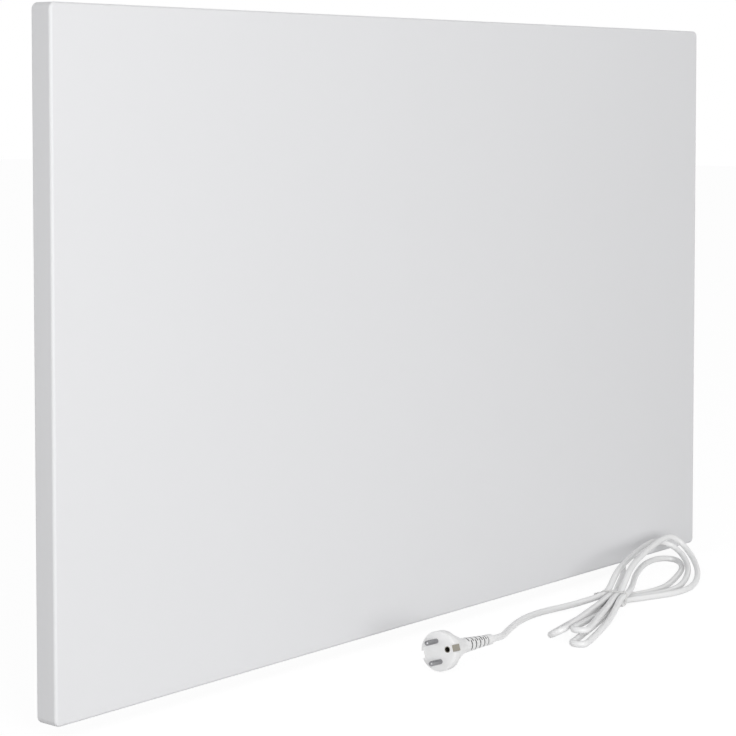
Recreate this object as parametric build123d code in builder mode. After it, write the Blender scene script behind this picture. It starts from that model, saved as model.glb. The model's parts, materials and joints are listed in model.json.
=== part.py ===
from build123d import *

import os
from itertools import product
from math import cos, floor, radians, sin, sqrt, tan

# Flat infrared heating panel for a wall, with its mains lead folded into a tied hank in front of it.
#
# Frame: X along the panel's width, to the right seen from the front; Y towards the wall; Z up.
# The origin is the centre of the four wall-fixing holes, in the plane of the wall.

os.makedirs("parts", exist_ok=True)

# ---------------------------------------------------------------- driving dimensions (mm)

# panel
panel_width = 1000.0
panel_height = 600.0
panel_depth = 25.0
wall_gap = 30.0  # wall to the back cover
floor_gap = 10.0  # free height under the panel's lower edge
sheet = 1.0  # front pan
fold_radius = 2.5  # outer radius of the front folds
back_fold = 2.0  # outer radius of the back folds
corner_radius = 6.0
flange_width = 14.0

# back cover
cover_sheet = 1.0
cover_inset = 3.0
bead_width = 16.0
bead_height = 3.0
bead_pitch = 90.0
bead_margin = 90.0  # end of a bead to the side of the panel
cover_screw_edge = 9.0  # screw line to the edge of the panel
cover_screw_corner = 40.0  # first screw of a row to the corner
cover_screw_columns = 5
cover_screw_rows = 3
screw_shank = 2.9
screw_head = 6.6
screw_head_height = 2.0
screw_length = 6.5
thread_clearance = 0.1

# heating element, from the front sheet backwards
mica = 0.6
mica_margin = 18.0
track_sheet = 0.3
track_width = 14.0
track_pitch = 22.0
track_margin = 20.0
foil = 0.3
board = 12.2
board_margin = 8.0
pocket = 19.0  # diameter of the openings over terminals and cut-outs

# wall fixing
hanger_from_side = 150.0  # line of the hangers to the side of the panel
hanger_from_edge = 100.0  # wall-fixing holes to the panel's upper and lower edges
wall_hole = 5.5
bracket_width = 32.0
bracket_sheet = 2.0
bracket_above = 18.0  # wall plate above its hole
bracket_below = 20.0
hook_reach = 16.0  # wall to the outside of the hook
hook_rise = 3.0  # top of the hook above the hole
hook_overlap = 15.0  # tongue behind the hook
hook_clearance = 2.0
hanger_foot = 25.0
bend_inner = 1.0
rivet_shank = 3.2
rivet_head = 7.0
rivet_head_height = 1.3
rivet_spacing = 16.0
bar_overhang = 40.0  # bar beyond the line of the hangers
bar_height = 30.0
bar_depth = 7.0
bar_sheet = 1.5

# mains lead
cord_diameter = 6.5
cord_from_side = 52.0  # lead to the right-hand side of the panel
core_diameter = 2.0
wire_diameter = 2.6  # wiring inside the panel
wire_plane = -36.2  # depth at which the wiring lies
wire_aside = 3.1  # live and neutral to the middle of the grommet
earth_plane = -33.2

# terminal box on the back
box_width = 80.0
box_height = 76.0
box_depth = 23.0
box_wall = 2.5
box_above_edge = 78.0  # box above the panel's lower edge
box_corner = 4.0
gasket = 1.0
lid = 2.0
boss = 7.0
boss_inset = 5.5
lid_screw_shank = 2.4
lid_screw_head = 5.2
lid_screw_length = 12.0
fixing_spacing = 58.0
fixing_above = 4.0  # fixing screws above the middle of the box
grommet_hole = 14.0
grommet_bore = 11.5
grommet_flange = 17.0
grommet_lip = 1.2
grommet_above = 24.0  # grommet above the middle of the box
block_pitch = 10.0
block_ways = 3
block_height = 16.0
block_way_width = 9.0
block_above = 4.0  # terminal block above the middle of the box
block_entry = 4.0
block_screw = 3.4
clamp_width = 28.0
clamp_height = 8.0
clamp_sheet = 4.0
clamp_gap = 0.5
clamp_screw_spacing = 18.0
clamp_screw = 3.0

# cable gland
gland_thread = 16.0
gland_hex = 20.0
gland_hex_height = 4.0
gland_inside = 8.5
gland_outside = 8.0
nut_diameter = 19.0
nut_height = 11.0
locknut_height = 3.0
sleeve_diameter = 10.0
sleeve_end = 8.6
sleeve_below_nut = 22.4
fit = 0.1  # radial clearance of pieces that fit in each other

# plug
plug_diameter = 37.0
plug_rim = 10.0
plug_body_length = 42.0
plug_neck = 15.0
pin_diameter = 4.8
pin_length = 19.0
pin_spacing = 19.0
socket_offset = 10.0
socket_bore = 4.8
socket_wall = 0.6
socket_depth = 18.0
clip_width = 6.0
clip_sheet = 0.8
clip_recess = 3.4
plug_roll = 17.0  # pin line from the vertical, degrees
relief_end = 9.0
relief_slots = 7
relief_slot = 2.0
relief_core = 4.1
relief_turn = 45.0  # slots to the pin line, degrees

# hank and tie
hank_x = 202.0  # waist of the hank to the middle of the panel
hank_forward = 86.0  # waist of the hank to the panel's front
tie_width = 4.0
tie_sheet = 0.9
tie_clearance = 0.5

# ---------------------------------------------------------------- places that follow from them

back_plane = -wall_gap
flange_plane = back_plane - cover_sheet
front_plane = back_plane - panel_depth
inner_plane = front_plane + sheet
surface = -panel_height / 2 - floor_gap  # what the lead lies on
cord_radius = cord_diameter / 2

mica_plane = inner_plane + mica
track_plane = mica_plane + track_sheet
mica_back = track_plane + mica
foil_plane = mica_back + foil
board_plane = foil_plane + board

hole_spacing_x = panel_width - 2 * hanger_from_side
hole_spacing_z = panel_height - 2 * hanger_from_edge
bar_length = hole_spacing_x + 2 * bar_overhang
hangers = [Vector(x, 0, z) for x, z in product(
    (-hole_spacing_x / 2, hole_spacing_x / 2), (-hole_spacing_z / 2, hole_spacing_z / 2))]
rivet_rise = hook_rise + hanger_foot * 0.6
rivets = [Vector(h.X + side * rivet_spacing / 2, 0, h.Z + rivet_rise) for h in hangers for side in (-1, 1)]

cord_x = panel_width / 2 - cord_from_side
box_rim = back_plane + box_depth
box_floor = back_plane + box_wall
lid_plane = box_rim + gasket
box_bottom = -panel_height / 2 + box_above_edge
box_middle = box_bottom + box_height / 2
cord_y = (box_floor + box_rim) / 2
sleeve_bottom = box_bottom - gland_hex_height - nut_height - sleeve_below_nut
jacket_top = box_bottom + 22.0
clamp_z = box_bottom + 15.0
grommet_z = box_middle + grommet_above
block_z = box_middle + block_above
ways = [cord_x + block_pitch * (i - (block_ways - 1) / 2) for i in range(block_ways)]

track_length = panel_width - 2 * (mica_margin + track_margin)
track_rows = 2 * floor((panel_height - 2 * (mica_margin + track_margin) + track_pitch) / (2 * track_pitch))
track_top = track_pitch * (track_rows - 1) / 2
terminal_x = track_length / 2 - track_width / 2
terminals = [Vector(terminal_x, 0, -track_top), Vector(terminal_x, 0, track_top)]
tab_top = wire_plane + 1.5
tab_sheet = 0.8
cutout_x = hole_spacing_x / 2 - 20.0
cutouts = [Vector(cutout_x, 0, -70.0), Vector(cutout_x, 0, 70.0)]
cutout_tabs = 4.0
earth_point = Vector(cord_x, 0, grommet_z + 40.0)

screw_columns = [(panel_width - 2 * cover_screw_corner) * (i / (cover_screw_columns - 1) - 0.5)
                 for i in range(cover_screw_columns)]
screw_rows = [(panel_height / 2 - cover_screw_corner) * (i - (cover_screw_rows - 1) / 2) * 0.5
              for i in range(cover_screw_rows)]
screw_line_x = panel_width / 2 - cover_screw_edge
screw_line_z = panel_height / 2 - cover_screw_edge
cover_screw_points = [(x, side * screw_line_z) for side in (-1, 1) for x in screw_columns]
cover_screw_points += [(side * screw_line_x, z) for side in (-1, 1) for z in screw_rows]
rivet_points = [(r.X, r.Z) for r in rivets]
fixing_points = [(cord_x + side * fixing_spacing / 2, box_middle + fixing_above) for side in (-1, 1)]
lid_screw_points = [(cord_x + i * (box_width / 2 - boss_inset), box_middle + j * (box_height / 2 - boss_inset))
                    for i, j in product((-1, 1), (-1, 1))]

# ---------------------------------------------------------------- routes of the lead

# from the gland's sleeve down behind the panel, under its edge and forward to the hank
lead_route = [
    (cord_x, cord_y, sleeve_bottom),
    (cord_x, cord_y, sleeve_bottom - 20),
    (cord_x - 10, cord_y, surface + 13.5),
    (cord_x - 27.3, cord_y, surface + cord_radius),
    (cord_x - 53, -24, surface + cord_radius),
    (cord_x - 84, -46, surface + cord_radius),
    (cord_x - 116, -68, surface + cord_radius),
    (cord_x - 152, -87, surface + cord_radius),
    (hank_x + 56, front_plane - 53, surface + cord_radius + 2.2),
]

# from the hank to the plug
plug_lead_route = [
    (158, -115, surface + cord_radius + 1.2),
    (122, -105, surface + cord_radius),
    (84, -108, surface + cord_radius),
    (46, -121, surface + cord_radius),
    (12, -137, surface + cord_radius + 1.2),
]

# the hank: three loops to the left and three to the right of its waist, drawn in at a tie.
# u runs along the hank, v towards the panel and h up from the surface.
waist = Vector(hank_x, front_plane - hank_forward, surface)
hank_angle = 14.0
lane = cord_diameter + 0.7  # pitch of the strands side by side and on each other
waist_half = 11.0
opening_start = 45.0  # where the left loops open, from the waist
opening_end = 92.0
loop_end = 15.0  # length of a left loop's round end
waist_lift = tie_sheet + tie_clearance
lower = cord_radius
upper = cord_radius + lane


def hank_point(u, v, h):
    """A point of the hank's own frame in the part's frame."""
    along, across = cos(radians(hank_angle)), sin(radians(hank_angle))
    return waist + Vector(u * along - v * across, u * across + v * along, h)


def between(start, end, share):
    return start + (end - start) * share


def left_loop(reach, near, near_height, far, far_height, lane_in, lane_out):
    """Out along the near side from an upper lane of the waist, and back along the far side to a lower one."""
    return [
        (-waist_half, lane_in, upper + waist_lift),
        (-opening_start, between(lane_in, near, 0.27), between(upper, near_height, 0.5)),
        (-opening_end, between(lane_in, near, 0.60), near_height),
        (-(reach - loop_end), near, near_height),
        (-reach, near, near_height),
        (-reach, far, far_height),
        (-(reach - loop_end), far, far_height),
        (-opening_end, between(lane_out, far, 0.60), between(lower, far_height, 0.4)),
        (-opening_start, between(lane_out, far, 0.27), lower),
        (-waist_half, lane_out, lower + waist_lift),
    ]


def right_loop(reach, near, far, lean, end_height, lane_in, lane_out):
    """Out on the surface from a lower lane of the waist, round, and back leaning up to an upper lane."""
    return [
        (waist_half, lane_in, lower + waist_lift),
        (0.16 * reach, between(lane_in, near, 0.27), lower),
        (0.38 * reach, between(lane_in, near, 0.95), lower),
        (0.64 * reach, between(lane_in, near, 0.84), lower),
        (0.89 * reach, 0.50 * near, between(lower, end_height, 0.16)),
        (1.01 * reach, 0.10 * near + 0.22 * far, between(lower, end_height, 0.62)),
        (0.945 * reach, 0.85 * far, end_height),
        (0.76 * reach, far, lean),
        (0.48 * reach, between(lane_out, far, 0.69), between(upper, lean, 0.92)),
        (0.22 * reach, between(lane_out, far, 0.22), between(upper, lean, 0.85)),
        (waist_half, lane_out, upper + waist_lift),
    ]


hank_corners = [hank_point(*corner) for corner in (
    [(1.6 * waist_half, 0.5 * lane, upper + waist_lift)]
    + left_loop(161, -3.2, upper, 10.8, lower, 0.5 * lane, lane)
    + right_loop(219.5, -26.8, 23.7, 10.9, 9.9, lane, -1.5 * lane)
    + left_loop(180, -33, lower, -19, lower, -1.5 * lane, -lane)
    + right_loop(226.5, -53.5, 10.4, 35.5, 36, -lane, -0.5 * lane)
    + left_loop(155, -24.8, upper, -10.5, upper, -0.5 * lane, 0)
    + right_loop(218, -40.8, 25.4, 29.5, 31.5, 0, 1.5 * lane)
    + [(-waist_half, 1.5 * lane, upper + waist_lift)]
)]

plug_face = Vector(-125, front_plane - 108, surface + plug_diameter / 2 + 0.9)
plug_entry = Vector(-27, front_plane - 95, surface + 10)
plug_axis = (plug_entry - plug_face).normalized()
plug_length = (plug_entry - plug_face).length
plug_lead_route += [tuple(plug_entry + plug_axis * 20), tuple(plug_entry)]


def shared_end(last, first, share):
    """Where two stretches of the lead meet: on the run between their nearest points."""
    return Vector(*last) + (Vector(*first) - Vector(*last)) * share


hank_start = shared_end(lead_route[-1], hank_corners[0], 0.4)
hank_end = shared_end(plug_lead_route[0], hank_corners[-1], 0.4)

# ---------------------------------------------------------------- helpers


def facing_front(y):
    """Plane at depth y, seen from the front: X right, Z up, normal towards the viewer."""
    return Plane.XZ.offset(-y)


def facing_wall(y):
    """Plane at depth y whose normal points to the wall; its second axis points down."""
    return Plane(origin=(0, y, 0), x_dir=(1, 0, 0), z_dir=(0, 1, 0))


def upright(x, y):
    """Plane through a vertical axis at (x, y), for profiles turned about that axis."""
    return Plane(origin=(x, y, 0), x_dir=(1, 0, 0), z_dir=(0, -1, 0))


def soft_radii(points):
    """Radius at each inner corner of a route: 0.45 of its shorter run over the tangent of half its turn."""
    radii = []
    for before, here, after in zip(points, points[1:], points[2:]):
        run_in = Vector(*here) - Vector(*before)
        run_out = Vector(*after) - Vector(*here)
        half_turn = radians(run_in.get_angle(run_out) / 2)
        radii.append(0.45 * min(run_in.length, run_out.length) / tan(half_turn))
    return radii


def save(piece, label):
    """Name a finished piece and write it."""
    piece.part.label = label
    export_step(piece.part, f"parts/{label}.step")


# ---------------------------------------------------------------- panel

pan_depth = panel_depth - cover_sheet


def folded_box(inset):
    """A box with the pan's folded edges and corners, drawn in on every side."""
    with BuildPart() as box:
        with BuildSketch(facing_front(flange_plane - inset)):
            RectangleRounded(panel_width - 2 * inset, panel_height - 2 * inset, corner_radius - inset)
        extrude(amount=pan_depth - 2 * inset)
        fillet(box.faces().sort_by(Axis.Y)[0].edges(), fold_radius - inset)
        fillet(box.faces().sort_by(Axis.Y)[-1].edges(), back_fold - inset)
    return box.part


with BuildPart() as front_pan:
    add(folded_box(0))
    add(folded_box(sheet), mode=Mode.SUBTRACT)
    with BuildSketch(facing_front(flange_plane)):
        Rectangle(panel_width - 2 * flange_width, panel_height - 2 * flange_width)
        with Locations(*cover_screw_points):
            Circle(screw_shank / 2 + thread_clearance)
    extrude(amount=sheet, mode=Mode.SUBTRACT)
save(front_pan, "front_pan")

bead_length = panel_width - 2 * bead_margin
bead_places = [(0, -bead_pitch), (0, 0), (0, bead_pitch)]
bead_taper = 30

with BuildPart() as rear_cover:
    with BuildSketch(facing_front(back_plane)):
        RectangleRounded(panel_width - 2 * cover_inset, panel_height - 2 * cover_inset, corner_radius - back_fold)
        with Locations(*cover_screw_points, *fixing_points):
            Circle(screw_shank / 2 + 4 * thread_clearance, mode=Mode.SUBTRACT)
        with Locations(*rivet_points):
            Circle(rivet_shank / 2 + thread_clearance, mode=Mode.SUBTRACT)
        with Locations((cord_x, grommet_z)):
            Circle(grommet_hole / 2, mode=Mode.SUBTRACT)
    extrude(amount=cover_sheet)
    with BuildSketch(facing_wall(back_plane)):
        with Locations(*bead_places):
            SlotOverall(bead_length, bead_width)
    extrude(amount=bead_height, taper=bead_taper)
    with BuildSketch(facing_wall(flange_plane)):
        with Locations(*bead_places):
            SlotOverall(bead_length - 2 * cover_sheet, bead_width - 2 * cover_sheet)
    extrude(amount=bead_height, taper=bead_taper, mode=Mode.SUBTRACT)
save(rear_cover, "rear_cover")

with BuildPart() as cover_screw:
    with BuildSketch(Plane.XY):
        with BuildLine():
            Polyline((0, back_plane - screw_length), (screw_shank / 2 - 0.6, back_plane - screw_length),
                     (screw_shank / 2, back_plane - screw_length + 1.5), (screw_shank / 2, back_plane),
                     (screw_head / 2, back_plane), (screw_head / 2, back_plane + 0.6 * screw_head_height))
            TangentArc((0, back_plane + screw_head_height), (screw_head / 2, back_plane + 0.6 * screw_head_height),
                       tangent=(1, 0))
            Line((0, back_plane + screw_head_height), (0, back_plane - screw_length))
        make_face()
    revolve(axis=Axis.Y)

with BuildPart() as cover_screws:
    with Locations(*[(x, 0, z) for x, z in cover_screw_points]):
        add(cover_screw.part)
save(cover_screws, "cover_screws")

# ---------------------------------------------------------------- heating element

mica_width = panel_width - 2 * mica_margin
mica_height = panel_height - 2 * mica_margin

with BuildPart() as mica_front:
    with BuildSketch(facing_front(mica_plane)):
        RectangleRounded(mica_width, mica_height, corner_radius)
    extrude(amount=mica)
save(mica_front, "mica_front")

track_corners = []
for row in range(track_rows):
    row_z = row * track_pitch - track_top
    ends = (-track_length / 2, track_length / 2)
    track_corners += [(x, row_z) for x in (reversed(ends) if row % 2 == 0 else ends)]

with BuildPart() as heating_track:
    with BuildSketch(facing_front(track_plane)):
        with BuildLine() as meander:
            FilletPolyline(*track_corners, radius=0.45 * track_pitch)
        trace(meander.line, track_width)
    extrude(amount=track_sheet)
save(heating_track, "heating_track")

with BuildPart() as mica_rear:
    with BuildSketch(facing_front(mica_back)):
        RectangleRounded(mica_width, mica_height, corner_radius)
        with Locations(*[(t.X, t.Z) for t in terminals]):
            Circle(pocket / 2, mode=Mode.SUBTRACT)
    extrude(amount=mica)
save(mica_rear, "mica_rear")

pocket_points = [(p.X, p.Z) for p in terminals + cutouts]

with BuildPart() as reflector_foil:
    with BuildSketch(facing_front(foil_plane)):
        RectangleRounded(mica_width, mica_height, corner_radius)
        with Locations(*pocket_points):
            Circle(pocket / 2, mode=Mode.SUBTRACT)
    extrude(amount=foil)
save(reflector_foil, "reflector_foil")

with BuildPart() as insulation_board:
    with BuildSketch(facing_front(board_plane)):
        RectangleRounded(panel_width - 2 * board_margin, panel_height - 2 * board_margin, corner_radius)
        with Locations(*pocket_points):
            Circle(pocket / 2, mode=Mode.SUBTRACT)
    extrude(amount=board)
save(insulation_board, "insulation_board")

tab_width = 6.3
tab_foot = 11.0

with BuildPart() as terminal_tab:
    with BuildSketch(facing_front(track_plane + tab_sheet)):
        Rectangle(tab_foot, track_width - 2)
    extrude(amount=tab_sheet)
    with BuildSketch(facing_front(tab_top)):
        Rectangle(tab_width, tab_sheet)
    extrude(amount=tab_top - track_plane)

with BuildPart() as track_terminals:
    with Locations(*[tuple(t) for t in terminals]):
        add(terminal_tab.part)
save(track_terminals, "track_terminals")

can_radius = pocket / 2 - 1.5
can_height = 5.0
base_height = 4.0

with BuildPart() as thermal_cutout:
    with BuildSketch(facing_front(mica_back + can_height)):
        Circle(can_radius)
    extrude(amount=can_height)
    fillet(thermal_cutout.faces().sort_by(Axis.Y)[0].edges(), 1)
    with BuildSketch(facing_front(mica_back + can_height + base_height)):
        Circle(can_radius - 1)
    extrude(amount=base_height)
    with BuildSketch(facing_front(tab_top)):
        with Locations((0, -cutout_tabs), (0, cutout_tabs)):
            Rectangle(tab_width, tab_sheet)
    extrude(amount=tab_top - mica_back - can_height - base_height)

with BuildPart() as thermal_cutouts:
    with Locations(*[tuple(c) for c in cutouts]):
        add(thermal_cutout.part)
save(thermal_cutouts, "thermal_cutouts")

# ---------------------------------------------------------------- wall fixing

bend_outer = bend_inner + bracket_sheet
tongue_y = -hook_reach + bracket_sheet + hook_clearance

with BuildPart() as wall_bracket:
    with BuildSketch(Plane.YZ.offset(-bracket_width / 2)):
        with BuildLine():
            FilletPolyline((0, bracket_above), (0, -bracket_below), (-hook_reach, -bracket_below),
                           (-hook_reach, hook_rise), radius=bend_outer)
            offset(amount=bracket_sheet, side=Side.RIGHT)
        make_face()
    extrude(amount=bracket_width)
    with BuildSketch(facing_front(0)):
        Circle(wall_hole / 2)
    extrude(amount=bracket_sheet, mode=Mode.SUBTRACT)
    fillet(wall_bracket.edges().filter_by(Axis.Y).group_by(Axis.Z)[-1], 4)

with BuildPart() as wall_brackets:
    with Locations(*[tuple(h) for h in hangers]):
        add(wall_bracket.part)
save(wall_brackets, "wall_brackets")

with BuildPart() as panel_hanger:
    with BuildSketch(Plane.YZ.offset(-bracket_width / 2)):
        with BuildLine():
            FilletPolyline((back_plane, hook_rise + hanger_foot), (back_plane, hook_rise),
                           (tongue_y, hook_rise), (tongue_y, hook_rise - hook_overlap),
                           radius=(bend_outer, bend_inner))
            offset(amount=bracket_sheet, side=Side.LEFT)
        make_face()
    extrude(amount=bracket_width)
    with BuildSketch(facing_front(back_plane + bracket_sheet)):
        with Locations((-rivet_spacing / 2, rivet_rise), (rivet_spacing / 2, rivet_rise)):
            Circle(rivet_shank / 2 + thread_clearance)
    extrude(amount=bracket_sheet, mode=Mode.SUBTRACT)
    fillet(panel_hanger.edges().filter_by(Axis.Y).group_by(Axis.Z)[-1], 4)

with BuildPart() as panel_hangers:
    with Locations(*[tuple(h) for h in hangers]):
        add(panel_hanger.part)
save(panel_hangers, "panel_hangers")

bar_web = flange_plane - bar_sheet

with BuildPart() as backing_bar:
    with BuildSketch(Plane.YZ.offset(-bar_length / 2)):
        with BuildLine():
            FilletPolyline((flange_plane - bar_depth, -bar_height / 2), (flange_plane, -bar_height / 2),
                           (flange_plane, bar_height / 2), (flange_plane - bar_depth, bar_height / 2),
                           radius=bar_sheet + bend_inner)
            offset(amount=bar_sheet, side=Side.LEFT)
        make_face()
    extrude(amount=bar_length)
    with BuildSketch(facing_front(flange_plane)):
        with Locations(*[(r.X, 0) for r in rivets if r.Z > 0]):
            Circle(rivet_shank / 2 + thread_clearance)
    extrude(amount=bar_sheet, mode=Mode.SUBTRACT)

with BuildPart() as backing_bars:
    with Locations(*[(0, 0, side * hole_spacing_z / 2 + rivet_rise) for side in (-1, 1)]):
        add(backing_bar.part)
save(backing_bars, "backing_bars")

rivet_seat = back_plane + bracket_sheet
rivet_tail = 5.4
rivet_tail_height = 1.2

with BuildPart() as hanger_rivet:
    with BuildSketch(Plane.XY):
        with BuildLine():
            Polyline((0, bar_web - rivet_tail_height), (rivet_tail / 2 - 0.5, bar_web - rivet_tail_height),
                     (rivet_tail / 2, bar_web), (rivet_shank / 2, bar_web), (rivet_shank / 2, rivet_seat),
                     (rivet_head / 2, rivet_seat), (rivet_head / 2, rivet_seat + 0.3))
            TangentArc((0, rivet_seat + rivet_head_height), (rivet_head / 2, rivet_seat + 0.3), tangent=(1, 0))
            Line((0, rivet_seat + rivet_head_height), (0, bar_web - rivet_tail_height))
        make_face()
    revolve(axis=Axis.Y)

with BuildPart() as hanger_rivets:
    with Locations(*[tuple(r) for r in rivets]):
        add(hanger_rivet.part)
save(hanger_rivets, "hanger_rivets")

# ---------------------------------------------------------------- terminal box

with BuildPart() as junction_box:
    with BuildSketch(facing_front(box_rim)):
        with Locations((cord_x, box_middle)):
            RectangleRounded(box_width, box_height, box_corner)
    extrude(amount=box_depth)
    with BuildSketch(facing_front(box_rim)):
        with Locations((cord_x, box_middle)):
            RectangleRounded(box_width - 2 * box_wall, box_height - 2 * box_wall, box_corner - box_wall)
    extrude(amount=box_depth - box_wall, mode=Mode.SUBTRACT)
    with BuildSketch(facing_front(lid_plane)):
        with Locations(*lid_screw_points):
            Circle(boss / 2)
    extrude(amount=lid_plane - box_floor)
    with BuildSketch(facing_front(cord_y)):
        with Locations((cord_x, clamp_z)):
            Rectangle(clamp_width, clamp_height)
    extrude(amount=cord_y - box_floor)
    with BuildSketch(facing_front(lid_plane)):
        with Locations(*lid_screw_points):
            Circle(lid_screw_shank / 2 + thread_clearance)
    extrude(amount=lid_screw_length, mode=Mode.SUBTRACT)
    with BuildSketch(facing_front(cord_y)):
        with Locations(*[(cord_x + side * clamp_screw_spacing / 2, clamp_z) for side in (-1, 1)]):
            Circle(clamp_screw / 2 + thread_clearance)
    extrude(amount=6, mode=Mode.SUBTRACT)
    with BuildSketch(facing_front(box_floor)):
        with Locations((cord_x, grommet_z)):
            Circle(grommet_hole / 2)
        with Locations(*fixing_points):
            Circle(screw_shank / 2 + 4 * thread_clearance)
    extrude(amount=box_wall, mode=Mode.SUBTRACT)
    with BuildSketch(Plane.XY.offset(box_bottom)):
        with Locations((cord_x, cord_y)):
            Circle(gland_thread / 2 + fit)
    extrude(amount=box_wall, mode=Mode.SUBTRACT)
    with BuildSketch(Plane.XY.offset(clamp_z - clamp_height / 2)):
        with Locations((cord_x, cord_y)):
            Circle(cord_radius + fit)
    extrude(amount=clamp_height, mode=Mode.SUBTRACT)
save(junction_box, "junction_box")

with BuildPart() as box_gasket:
    with BuildSketch(facing_front(lid_plane)):
        with Locations((cord_x, box_middle)):
            RectangleRounded(box_width, box_height, box_corner)
            RectangleRounded(box_width - 2 * box_wall, box_height - 2 * box_wall, box_corner - box_wall,
                             mode=Mode.SUBTRACT)
        with Locations(*lid_screw_points):
            Circle(boss / 2 + fit, mode=Mode.SUBTRACT)
    extrude(amount=gasket)
save(box_gasket, "box_gasket")

with BuildPart() as box_lid:
    with BuildSketch(facing_front(lid_plane + lid)):
        with Locations((cord_x, box_middle)):
            RectangleRounded(box_width, box_height, box_corner)
    extrude(amount=lid)
    fillet(box_lid.faces().sort_by(Axis.Y)[-1].edges(), 0.8)
    with Locations(*[Location((x, lid_plane + lid, z), (-90, 0, 0)) for x, z in lid_screw_points]):
        CounterSinkHole(lid_screw_shank / 2 + 2 * thread_clearance, lid_screw_head / 2, lid)
save(box_lid, "box_lid")

with BuildPart() as lid_screw:
    with BuildSketch(Plane.XY):
        with BuildLine():
            Polyline((0, lid_plane + lid), (lid_screw_head / 2 - fit, lid_plane + lid),
                     (lid_screw_shank / 2, lid_plane + lid - (lid_screw_head - lid_screw_shank) / 2 + fit),
                     (lid_screw_shank / 2, lid_plane + lid - lid_screw_length + 1),
                     (0, lid_plane + lid - lid_screw_length), close=True)
        make_face()
    revolve(axis=Axis.Y)

with BuildPart() as box_lid_screws:
    with Locations(*[(x, 0, z) for x, z in lid_screw_points]):
        add(lid_screw.part)
save(box_lid_screws, "box_lid_screws")

fixing_end = flange_plane - 3.0

with BuildPart() as fixing_screw:
    with BuildSketch(Plane.XY):
        with BuildLine():
            Polyline((0, fixing_end), (screw_shank / 2, fixing_end + 1), (screw_shank / 2, box_floor),
                     (screw_head / 2, box_floor), (screw_head / 2, box_floor + 1.2),
                     (screw_head / 3, box_floor + screw_head_height), (0, box_floor + screw_head_height), close=True)
        make_face()
    revolve(axis=Axis.Y)

with BuildPart() as box_fixing_screws:
    with Locations(*[(x, 0, z) for x, z in fixing_points]):
        add(fixing_screw.part)
save(box_fixing_screws, "box_fixing_screws")

with BuildPart() as wire_grommet:
    with BuildSketch(facing_front(box_floor + grommet_lip)):
        with Locations((cord_x, grommet_z)):
            Circle(grommet_flange / 2)
    extrude(amount=grommet_lip)
    with BuildSketch(facing_front(box_floor)):
        with Locations((cord_x, grommet_z)):
            Circle(grommet_hole / 2 - fit)
    extrude(amount=box_wall + cover_sheet)
    with BuildSketch(facing_front(flange_plane)):
        with Locations((cord_x, grommet_z)):
            Circle(grommet_flange / 2)
    extrude(amount=grommet_lip)
    with BuildSketch(facing_front(box_floor + grommet_lip)):
        with Locations((cord_x, grommet_z)):
            Circle(grommet_bore / 2)
    extrude(amount=box_wall + cover_sheet + 2 * grommet_lip, mode=Mode.SUBTRACT)
save(wire_grommet, "wire_grommet")

block_top = cord_y + 7.5

with BuildPart() as terminal_block:
    with BuildSketch(facing_front(cord_y + 2)):
        with Locations((cord_x, block_z)):
            Rectangle(block_pitch * (block_ways - 1) + block_way_width, block_height - 4)
    extrude(amount=cord_y + 2 - box_floor)
    with BuildSketch(facing_front(block_top)):
        with Locations(*[(x, block_z) for x in ways]):
            RectangleRounded(block_way_width, block_height, 1.5)
    extrude(amount=block_top - box_floor)
    with BuildSketch(Plane.XY.offset(block_z - block_height / 2)):
        with Locations(*[(x, cord_y) for x in ways]):
            Circle(wire_diameter / 2 + fit)
    extrude(amount=block_height, mode=Mode.SUBTRACT)
    with BuildSketch(facing_front(block_top)):
        with Locations(*[(x, block_z + side * block_height / 4) for x in ways for side in (-1, 1)]):
            Circle(block_screw / 2 + fit)
    extrude(amount=block_top - cord_y - wire_diameter / 2, mode=Mode.SUBTRACT)
save(terminal_block, "terminal_block")

with BuildPart() as terminal_screws:
    with BuildSketch(facing_front(block_top - 1)):
        with Locations(*[(x, block_z + side * block_height / 4) for x in ways for side in (-1, 1)]):
            Circle(block_screw / 2)
            Rectangle(block_screw, 0.7, mode=Mode.SUBTRACT)
    extrude(amount=1)
    with BuildSketch(facing_front(block_top - 2)):
        with Locations(*[(x, block_z + side * block_height / 4) for x in ways for side in (-1, 1)]):
            Circle(block_screw / 2)
    extrude(amount=block_top - 2 - cord_y - wire_diameter / 2)
save(terminal_screws, "terminal_screws")

with BuildPart() as cord_clamp:
    with BuildSketch(facing_front(cord_y + clamp_gap + clamp_sheet)):
        with Locations((cord_x, clamp_z)):
            RectangleRounded(clamp_width, clamp_height, 2)
        with Locations(*[(cord_x + side * clamp_screw_spacing / 2, clamp_z) for side in (-1, 1)]):
            Circle(clamp_screw / 2 + thread_clearance, mode=Mode.SUBTRACT)
    extrude(amount=clamp_sheet)
    with BuildSketch(Plane.XY.offset(clamp_z - clamp_height / 2)):
        with Locations((cord_x, cord_y)):
            Circle(cord_radius + fit)
    extrude(amount=clamp_height, mode=Mode.SUBTRACT)
save(cord_clamp, "cord_clamp")

clamp_top = cord_y + clamp_gap + clamp_sheet

with BuildPart() as clamp_screw_blank:
    with BuildSketch(Plane.XY):
        with BuildLine():
            Polyline((0, cord_y - 5), (clamp_screw / 2, cord_y - 4), (clamp_screw / 2, clamp_top),
                     (0.9 * clamp_screw, clamp_top), (0.9 * clamp_screw, clamp_top + 1.4),
                     (0.6 * clamp_screw, clamp_top + 2), (0, clamp_top + 2), close=True)
        make_face()
    revolve(axis=Axis.Y)

with BuildPart() as clamp_screws:
    with Locations(*[(cord_x + side * clamp_screw_spacing / 2, 0, clamp_z) for side in (-1, 1)]):
        add(clamp_screw_blank.part)
save(clamp_screws, "clamp_screws")

# ---------------------------------------------------------------- cable gland

hex_bottom = box_bottom - gland_hex_height
nut_bottom = hex_bottom - nut_height
shoulder_top = hex_bottom - 1.0
shoulder_bottom = hex_bottom - gland_outside
gland_bore = sleeve_diameter + 0.8

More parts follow.
